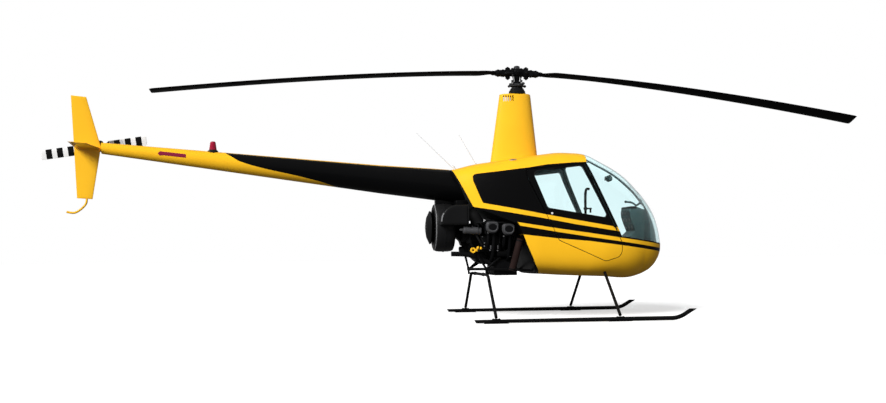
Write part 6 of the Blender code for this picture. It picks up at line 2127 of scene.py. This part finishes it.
@dataclass
class Cockpit:
    """Console with its dials, controls, pedals, compass and the arm at the bow."""

    console: tuple[tuple[float, float], ...] = (
        (1.140, 0.300), (1.140, 0.835), (1.195, 0.862), (1.240, 0.905), (1.208, 0.985), (1.184, 1.060),
        (1.182, 1.105), (1.190, 1.150), (1.215, 1.162), (1.262, 1.162), (1.340, 1.128), (1.430, 1.088),
        (1.600, 1.010), (1.600, 0.300))
    deck_x: float = 1.338
    deck_half: float = 0.160
    dial_pitch: float = 0.098

    def build_console(self) -> None:
        """The console's body, cut from the cabin's inner form."""
        outline = rounded([(x, z, 0.012) for x, z in self.console], 4)
        beside = ((1.100, 0.200), (self.deck_x, 0.200), (self.deck_x, 1.300), (1.100, 1.300))
        body = carved(POD.solid(0.029), (Cut.KEEP, prism(outline, -0.400, 0.400)),
                      (Cut.TAKE, prism(beside, self.deck_half, FAR)),
                      (Cut.TAKE, prism(beside, -FAR, -self.deck_half)))
        Piece.make("console_body", body, LINING, replaces=("console",), bevel=0.008)

    def build_dials(self) -> None:
        """Three rows of round instruments, each a bezel, a dark face, marks and a needle."""
        faces = (((1.2240, 0.9450), (-0.032, 0.080), 0.032), ((1.1960, 1.0225), (-0.024, 0.075), 0.033),
                 ((1.1830, 1.0950), (-0.002, 0.045), 0.028))
        bezels, cards, marks, needles = [], [], [], []
        rng = np.random.default_rng(7)
        side = np.array((0.0, 1.0, 0.0))
        angle = np.radians(np.arange(-120, 150, 30))
        tick = rod((0, 0, 0.0012), (0, 0, 0.0022), 0.0011, sides=6, edge=0.0001)
        for (x, z), along, size in faces:
            down = -unit(np.array((along[0], 0.0, along[1])))
            out = np.array((down[2], 0.0, -down[0]))
            for y in (-self.dial_pitch, 0.0, self.dial_pitch):
                centre = np.array((x, y, z))
                bezels.append(turned(((size, -0.002), (size, 0.004), (size - 0.003, 0.006),
                                      (size - 0.006, 0.003), (size - 0.006, -0.002)), centre, out, 32,
                                     loop=True))
                cards.append(turned(((size - 0.005, -0.003), (size - 0.005, 0.0015)), centre, out, 32))
                spokes = np.sin(angle)[:, None] * side - np.cos(angle)[:, None] * down
                ring = centre + (size - 0.010) * spokes
                marks.append(repeated(tick, ring, out))
                swing = rng.uniform(-2.0, 2.0)
                tip = (size - 0.011) * (math.sin(swing) * side - math.cos(swing) * down)
                foot = centre + out * 0.003
                needles.append(rod(foot - 0.2 * tip, foot + tip, 0.0010, 0.0005, 6))
        Piece.make("dial_bezels", joined(bezels), RUBBER)
        Piece.make("dial_cards", joined(cards), DIAL)
        Piece.make("dial_marks", joined(marks) + joined(needles), WHIP)

    def build_panel(self) -> None:
        """Radio faces, knobs and switches low on the console, and its lamp hood on top."""
        parts, knobs = [], []
        for row, z in enumerate((0.800, 0.745, 0.690)):
            parts.append(soft_box((1.131, -0.080, z - 0.022), (1.142, 0.080, z + 0.022), 0.003, axis=0))
            for y in (-0.064, 0.064):
                knobs.append(rod((1.132, y, z), (1.117, y, z), 0.0095, 0.008, 20))
            for y in (-0.030, 0.0, 0.030):
                knobs.append(soft_box((1.127, y - 0.010, z - 0.006), (1.134, y + 0.010, z + 0.006), 0.002))
        for y in np.arange(-0.130, 0.131, 0.026):
            knobs.append(rod((1.143, y, 0.630), (1.122, y, 0.640), 0.0035, 0.0045, 10))
        hood = soft_box((1.188, -0.166, 1.138), (1.262, 0.166, 1.168), 0.012)
        Piece.make("radio_faces", joined(parts) + hood, RUBBER)
        Piece.make("console_knobs", joined(knobs), DIAL)

    def build_controls(self) -> None:
        """Cyclic with its hooked handle, collective with its grip, and both pairs of pedals."""
        path = eased(((0.745, 0, 0.4575), (0.738, 0, 0.800), (0.736, 0, 1.200), (0.740, 0, 1.335),
                      (0.754, 0, 1.366), (0.784, 0, 1.360)), 2)
        stick = [tube(path, np.interp(path[:, 2], (0.5, 1.05, 1.10), (0.0125, 0.0125, 0.0140)), 20),
                 rod((0.737, 0, 1.150), (0.806, 0, 1.150), 0.009, sides=16),
                 rod((0.792, 0, 1.149), (0.792, 0, 1.105), 0.010, sides=16),
                 disc((0.737, 0, 1.150), (0, 1, 0), 0.019, 0.017, 0.003, 24),
                 turned(((0.040, 0.0), (0.038, 0.012), (0.028, 0.030), (0.030, 0.040), (0.021, 0.058),
                         (0.022, 0.066), (0.0135, 0.085)), (0.744, 0, 0.458), (-0.02, 0, 1), 28)]
        for z in np.arange(1.215, 1.320, 0.017):
            stick.append(turned(((0.0130, -0.003), (0.0158, -0.002), (0.0158, 0.002), (0.0130, 0.003)),
                                (0.7365, 0, z), (0, 0, 1), 20))
        Piece.make("cyclic_stick", joined(stick), STEEL, replaces=("cyclic",))
        lever = eased(((0.200, 0.0, 0.7314), (0.300, 0.0, 0.765), (0.620, 0.0, 0.880)), 2)
        handle = [tube(lever, 0.0115, 18),
                  rod((0.505, 0, 0.8387), (0.618, 0, 0.8793), 0.0165, 0.0155, 22, 0.004),
                  disc((0.500, 0, 0.8369), (0.115, 0, 0.0414), 0.020, 0.004, 0.0015, 22)]
        Piece.make("collective_lever", joined(handle), STEEL, replaces=("collective",))
        pedals, arms = [], []
        for middle in (-0.235, 0.235):
            for y in (middle - 0.062, middle + 0.062):
                arms.append(tube(eased(((1.030, y, 0.500), (1.045, y, 0.545), (1.062, y, 0.610))), 0.009, 14))
                pedals.append(soft_box((1.048, y - 0.036, 0.580), (1.062, y + 0.036, 0.660), 0.006, axis=0))
                for z in (0.595, 0.611, 0.627, 0.643):
                    pedals.append(rod((1.047, y - 0.031, z), (1.047, y + 0.031, z), 0.0022, sides=8))
                arms.append(rod((1.030, y, 0.470), (1.030, y, 0.500), 0.012, 0.010, 16))
            arms.append(rod((1.030, middle - 0.090, 0.500), (1.030, middle + 0.090, 0.500), 0.011, sides=18))
        Piece.make("pedal_arms", joined(arms), STEEL)
        Piece.make("pedal_pads", joined(pedals), RUBBER)

    def build_compass(self) -> None:
        """The compass hanging from the bow, and the small cranked arm lower on it."""
        body = turned(((0.014, -0.036), (0.027, -0.031), (0.035, -0.020), (0.038, -0.006), (0.038, 0.008),
                       (0.034, 0.021), (0.026, 0.029), (0.012, 0.033)), (1.004, 0.0, 1.478),
                      (-0.35, 0.0, 0.94), 32)
        stem = rod((1.002, 0.0, 1.490), (1.024, 0.0, 1.512), 0.013, 0.011, 18)
        face = turned(((0.024, 0.0), (0.026, 0.004), (0.022, 0.0055)), (0.966, 0.0, 1.476),
                      (-1.0, 0.0, 0.1), 28)
        Piece.make("compass_case", body + stem, LINING)
        Piece.make("compass_face", face, DIAL)
        arm = [tube(eased(((1.362, 0.0, 1.200), (1.352, 0.0, 1.216), (1.330, 0.0, 1.190), (1.300, 0.0, 1.184),
                           (1.275, 0.0, 1.208), (1.240, 0.0, 1.218), (1.195, 0.0, 1.222)), 2), 0.0105, 14),
               disc((1.190, 0.0, 1.222), (0, 1, 0), 0.014, 0.010, 0.003, 22),
               disc((1.240, 0.0, 1.218), (0, 1, 0), 0.012, 0.009, 0.003, 20),
               disc((1.302, 0.0, 1.186), (0, 1, 0), 0.012, 0.009, 0.003, 20)]
        Piece.make("bow_arm", joined(arm), LINING)

    def build_floor(self) -> None:
        """Ribbed floor mats."""
        mats = []
        for middle in (-0.195, 0.195):
            mats.append(soft_box((0.600, middle - 0.135, 0.474), (1.030, middle + 0.135, 0.482), 0.003))
            for x in np.arange(0.625, 1.015, 0.022):
                mats.append(soft_box((x - 0.004, middle - 0.128, 0.480),
                                     (x + 0.004, middle + 0.128, 0.4845), 0.002))
        Piece.make("floor_mats", joined(mats), RUBBER)

    def build(self) -> None:
        """All of the cockpit."""
        self.build_console()
        self.build_dials()
        self.build_panel()
        self.build_controls()
        self.build_compass()
        self.build_floor()


# Trim -----------------------------------------------------------------------------------------------

@dataclass
class Trim:
    """Beacon, antennas, hinges, seals, latches and fuel caps."""

    hinge_low: tuple[float, float, float] = (0.934, 0.574, 0.838)
    hinge_high: tuple[float, float, float] = (0.599, 0.507, 1.600)
    hinges: tuple[tuple[float, float], ...] = ((0.12, 0.028), (0.80, 0.036))
    knuckle: float = 0.007
    knuckle_long: float = 0.022
    beacon_x: float = -3.200
    beacon_z: float = 1.738
    flutes: int = 14
    button: tuple[float, float] = (0.232, 1.081)
    lever: tuple[float, float] = (0.300, 1.075)
    cap_x: float = -0.120

    def build_beacon(self) -> None:
        """A black foot and a fluted red lens: r (1 + 0.030 cos 14 a)."""
        foot = turned(((0.054, 0.0), (0.054, 0.018), (0.050, 0.022), (0.041, 0.0235), (0.040, 0.030)),
                      (self.beacon_x, 0, self.beacon_z), (0, 0, 1), 40)
        rows = np.array(((0.0375, 0.027), (0.0375, 0.030), (0.0365, 0.036), (0.028, 0.098), (0.0265, 0.106),
                         (0.0225, 0.1135), (0.014, 0.1172), (0.004, 0.118)))
        angle = turns(84)
        flute = 1 + 0.030 * np.cos(self.flutes * angle)
        reach = rows[:, :1] * flute
        rings = np.stack([self.beacon_x + reach * np.cos(angle), reach * np.sin(angle),
                          np.broadcast_to(self.beacon_z + rows[:, 1:], reach.shape)], axis=-1)
        Piece.make("beacon_foot", foot, RUBBER)
        Piece.make("beacon_lens", lofted(rings), LENS, replaces=("beacon",))

    def build_antennas(self) -> None:
        """Two whips with their moulded feet."""
        for letter, foot, tip in (("a", (-0.680, 0.0007, 1.560), (-1.091, 0.0007, 1.957)),
                                  ("b", (-0.399, 0.2, 1.600), (-0.605, 0.2, 1.962))):
            foot, tip = np.array(foot), np.array(tip)
            share = np.linspace(0.06, 1.0, 20)[:, None]
            whip = tube(foot + share * (tip - foot), np.linspace(0.0032, 0.0016, 20), 10)
            base = turned(((0.017, -0.02), (0.017, 0.010), (0.013, 0.026), (0.008, 0.050), (0.0045, 0.062)),
                          foot, (-0.025, 0, 0.055), 24)
            Piece.make(f"whip_{letter}", carved(whip + base, (Cut.TAKE, POD.solid(-0.0002))), WHIP,
                       replaces=(f"antenna_{letter}",))

    def build_hinges(self) -> None:
        """Both halves of each door hinge: knuckle and arm, with a pin's head at each end."""
        for side, sign in SIDES:
            low, high = (np.array(end) * (1, sign, 1) for end in (self.hinge_low, self.hinge_high))
            along = unit(high - low)
            for index, (share, depth) in enumerate(self.hinges):
                for place, arm_x, body in ((1, -0.023, f"door_{side}"), (-1, 0.015, "airframe")):
                    near = low + (high - low) * share + place * 0.0003 * along
                    far = near + place * self.knuckle_long * along
                    middle = (near + far) / 2
                    half = (rod(near, far, self.knuckle, sides=24, edge=0.001)
                            + rod(middle, middle + (arm_x, -sign * depth, 0), 0.8 * self.knuckle, sides=18)
                            + disc(far, along, 0.0045, 0.0012, 0.0005, 16))
                    name = "door" if place > 0 else "post"
                    Piece.make(f"{name}_hinge_{side}_{index}", half, BLACK_PAINT, body)

    def on_skin(self, outline: Array, sign: float, inset: float) -> Array:
        """Points of a side-view outline laid on the body's skin, moved in by an inset."""
        return np.array([(x, sign * POD.side_y(x, z, inset), z) for x, z in outline])

    def build_seals(self) -> None:
        """Rubber seals in the door gaps and round the windows, on the skin."""
        cabin = Cabin()
        for side, sign in SIDES:
            gap = self.on_skin(grown(cabin.door, 0.0052), sign, 0.010)
            seal = tube(np.vstack([gap, gap[:1]]), 0.0048, 8)
            Piece.make(f"door_seal_{side}", seal, BLACK_PAINT)
            edge = self.on_skin(grown(cabin.window, 0.0015), sign, 0.0005)
            bead = tube(np.vstack([edge, edge[:1]]), 0.0034, 10)
            Piece.make(f"window_bead_{side}", bead, RUBBER, f"door_{side}")

    def build_latches(self) -> None:
        """The pale latch button and the flush handle on each door."""
        for side, sign in SIDES:
            x, z = self.button
            button = turned(((0.012, -0.006), (0.012, 0.001), (0.010, 0.0028), (0.003, 0.0034)),
                            (x, sign * POD.side_y(x, z), z), (0, sign, 0.03), 24)
            Piece.make(f"latch_button_{side}", button, WHIP, f"door_{side}")
            y = sign * POD.side_y(*self.lever)
            low, high = sorted((y - sign * 0.008, y + sign * 0.0065))
            lever = soft_box((0.262, low, 1.066), (0.345, high, 1.082), 0.005, axis=1)
            Piece.make(f"latch_lever_{side}", lever, BLACK_PAINT, f"door_{side}")

    def build_caps(self) -> None:
        """A flush fuel cap on each shoulder of the roof, by the mast fairing."""
        for side, sign in SIDES:
            rays = np.radians((56.0, 57.0) if sign > 0 else (124.0, 123.0))
            ring = POD.sections(np.array([self.cap_x]), 0.0, rays)[0]
            slope = unit(ring[1] - ring[0])
            out = np.array((-0.13, sign * abs(slope[2]), abs(slope[1])))
            cap = turned(((0.040, -0.006), (0.040, 0.001), (0.037, 0.004), (0.012, 0.005), (0.010, 0.0095),
                          (0.003, 0.010)), ring[0], out, 36)
            bar = turned(((0.0445, -0.006), (0.0445, 0.0005), (0.041, 0.0015)), ring[0], out, 36)
            Piece.make(f"fuel_cap_{side}", cap, BRIGHT)
            Piece.make(f"fuel_ring_{side}", bar, YELLOW_PAINT)

    def build(self) -> None:
        """All trim."""
        self.build_beacon()
        self.build_antennas()
        self.build_hinges()
        self.build_seals()
        self.build_latches()
        self.build_caps()


# Studio ---------------------------------------------------------------------------------------------

@dataclass
class Studio:
    """Floor, light and the camera at the photograph's viewpoint."""

    eye: tuple[float, float, float] = (-2.26876, -10.54316, 0.70771)
    yaw: float = math.radians(7.85272)
    pitch: float = math.radians(2.81149)
    roll: float = math.radians(-0.54060)
    lens: float = 40.887
    background: float = 1.0
    fill: float = 0.30
    key: float = 4.1
    key_from: tuple[float, float, float] = (-0.56, -0.66, 0.50)
    key_angle: float = math.radians(24)
    glint: float = 1.4
    glint_from: tuple[float, float, float] = (-0.80, -0.30, 0.62)
    lamp_away: float = 12.0
    see_to: float = 400.0
    floor_half: float = 60.0
    floor_rows: int = 13
    floor_z: float = -0.0005

    def build_camera(self) -> None:
        """Stand the camera at its eye point: columns right, up and back of its turn."""
        d = np.array((math.sin(self.yaw) * math.cos(self.pitch), math.cos(self.yaw) * math.cos(self.pitch),
                      math.sin(self.pitch)))
        r = np.array((math.cos(self.yaw), -math.sin(self.yaw), 0.0))
        u = np.cross(r, d)
        right = r * math.cos(self.roll) + u * math.sin(self.roll)
        up = -r * math.sin(self.roll) + u * math.cos(self.roll)
        lens = bpy.data.cameras.new("camera")
        lens.lens, lens.sensor_width, lens.clip_end = self.lens, 36.0, self.see_to
        camera = bpy.data.objects.new("camera", lens)
        bpy.context.scene.collection.objects.link(camera)
        matrix = np.eye(4)
        matrix[:3, 0], matrix[:3, 1], matrix[:3, 2] = right, up, -d
        matrix[:3, 3] = np.array(self.eye) + (MAST_X, 0.0, 0.0)
        camera.matrix_world = Matrix(matrix.tolist())
        bpy.context.scene.camera = camera

    def build_world(self) -> None:
        """A white surround, dimmer to the light it gives than to the camera."""
        world = bpy.data.worlds.new("studio")
        bpy.context.scene.world = world
        world.use_nodes = True
        tree = Tree(world.node_tree)
        world.node_tree.nodes.clear()
        seen, light = tree.add("ShaderNodeBackground"), tree.add("ShaderNodeBackground")
        for shader, strength in ((seen, self.background), (light, self.fill)):
            shader.inputs["Color"].default_value = (1.0, 1.0, 1.0, 1.0)
            shader.inputs["Strength"].default_value = strength
        path = tree.add("ShaderNodeLightPath")
        choose = tree.add("ShaderNodeMixShader")
        tree.link(tree.math("MAXIMUM", path.outputs["Is Camera Ray"], path.outputs["Is Transmission Ray"]),
                  choose.inputs[0])
        tree.link(light.outputs[0], choose.inputs[1])
        tree.link(seen.outputs[0], choose.inputs[2])
        tree.link(choose.outputs[0], tree.add("ShaderNodeOutputWorld").inputs["Surface"])

    def build_lights(self) -> None:
        """A broad sun from high up on the camera's left, and a weak one that only glances off gloss."""
        for name, power, source, gloss in (("key", self.key, self.key_from, False),
                                           ("glint", self.glint, self.glint_from, True)):
            lamp = bpy.data.lights.new(name, "SUN")
            lamp.energy, lamp.angle = power, self.key_angle
            light = bpy.data.objects.new(name, lamp)
            light.visible_glossy, light.visible_diffuse = gloss, not gloss
            bpy.context.scene.collection.objects.link(light)
            back = unit(np.array(source))
            first, second = square_pair(back)
            matrix = np.eye(4)
            matrix[:3, 0], matrix[:3, 1], matrix[:3, 2] = first, second, back
            matrix[:3, 3] = back * self.lamp_away
            light.matrix_world = Matrix(matrix.tolist())

    def build_floor(self) -> None:
        """A wide pale floor just below the skids."""
        count = self.floor_rows
        ways = np.linspace(-self.floor_half, self.floor_half, count)
        x, y = np.meshgrid(ways, ways, indexing="ij")
        points = np.stack([x, y, np.full_like(x, self.floor_z)], axis=-1).reshape(-1, 3)
        i, j = np.meshgrid(np.arange(count - 1), np.arange(count - 1), indexing="ij")
        corner = i * count + j
        quads = np.stack([corner, corner + count, corner + count + 1, corner + 1], -1).reshape(-1, 4)
        mesh = bpy.data.meshes.new("floor")
        mesh.from_pydata(points.tolist(), [], quads.tolist())
        surface = FloorFinish("floor", "", (0.90, 0.90, 0.90), (0.88, 0.88, 0.88), roughness=0.9, spread=0.05,
                              grain=3.0, bump=0.0001, specular=0.1)
        mesh.materials.append(surface.material())
        floor = bpy.data.objects.new("floor", mesh)
        bpy.context.scene.collection.objects.link(floor)

    def build(self) -> None:
        """Camera, world, lights and floor."""
        bpy.context.scene.view_settings.view_transform = "Standard"
        self.build_camera()
        self.build_world()
        self.build_lights()
        self.build_floor()


NODE_FINISHES = {"tail_gearbox": CAST, "tail_hub": STEEL, "seat_base": TRIM}


def main() -> None:
    """Build every sub-assembly in order and report it."""
    logging.basicConfig(level=logging.INFO, format="%(message)s")
    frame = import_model()
    for node, finish in NODE_FINISHES.items():
        materials = frame["nodes"][node].data.materials
        materials.clear()
        materials.append(finish.material())
    for assembly in (Studio(), Cabin(), MastFairing(), Boom(), Tail(), MainRotor(), Gear(),
                     Engine(), EngineFrame(), Seats(), Cockpit(), Trim()):
        before = Piece.count
        assembly.build()
        LOG.info("%s: %d pieces", type(assembly).__name__, Piece.count - before)


if __name__ == "__main__":
    main()
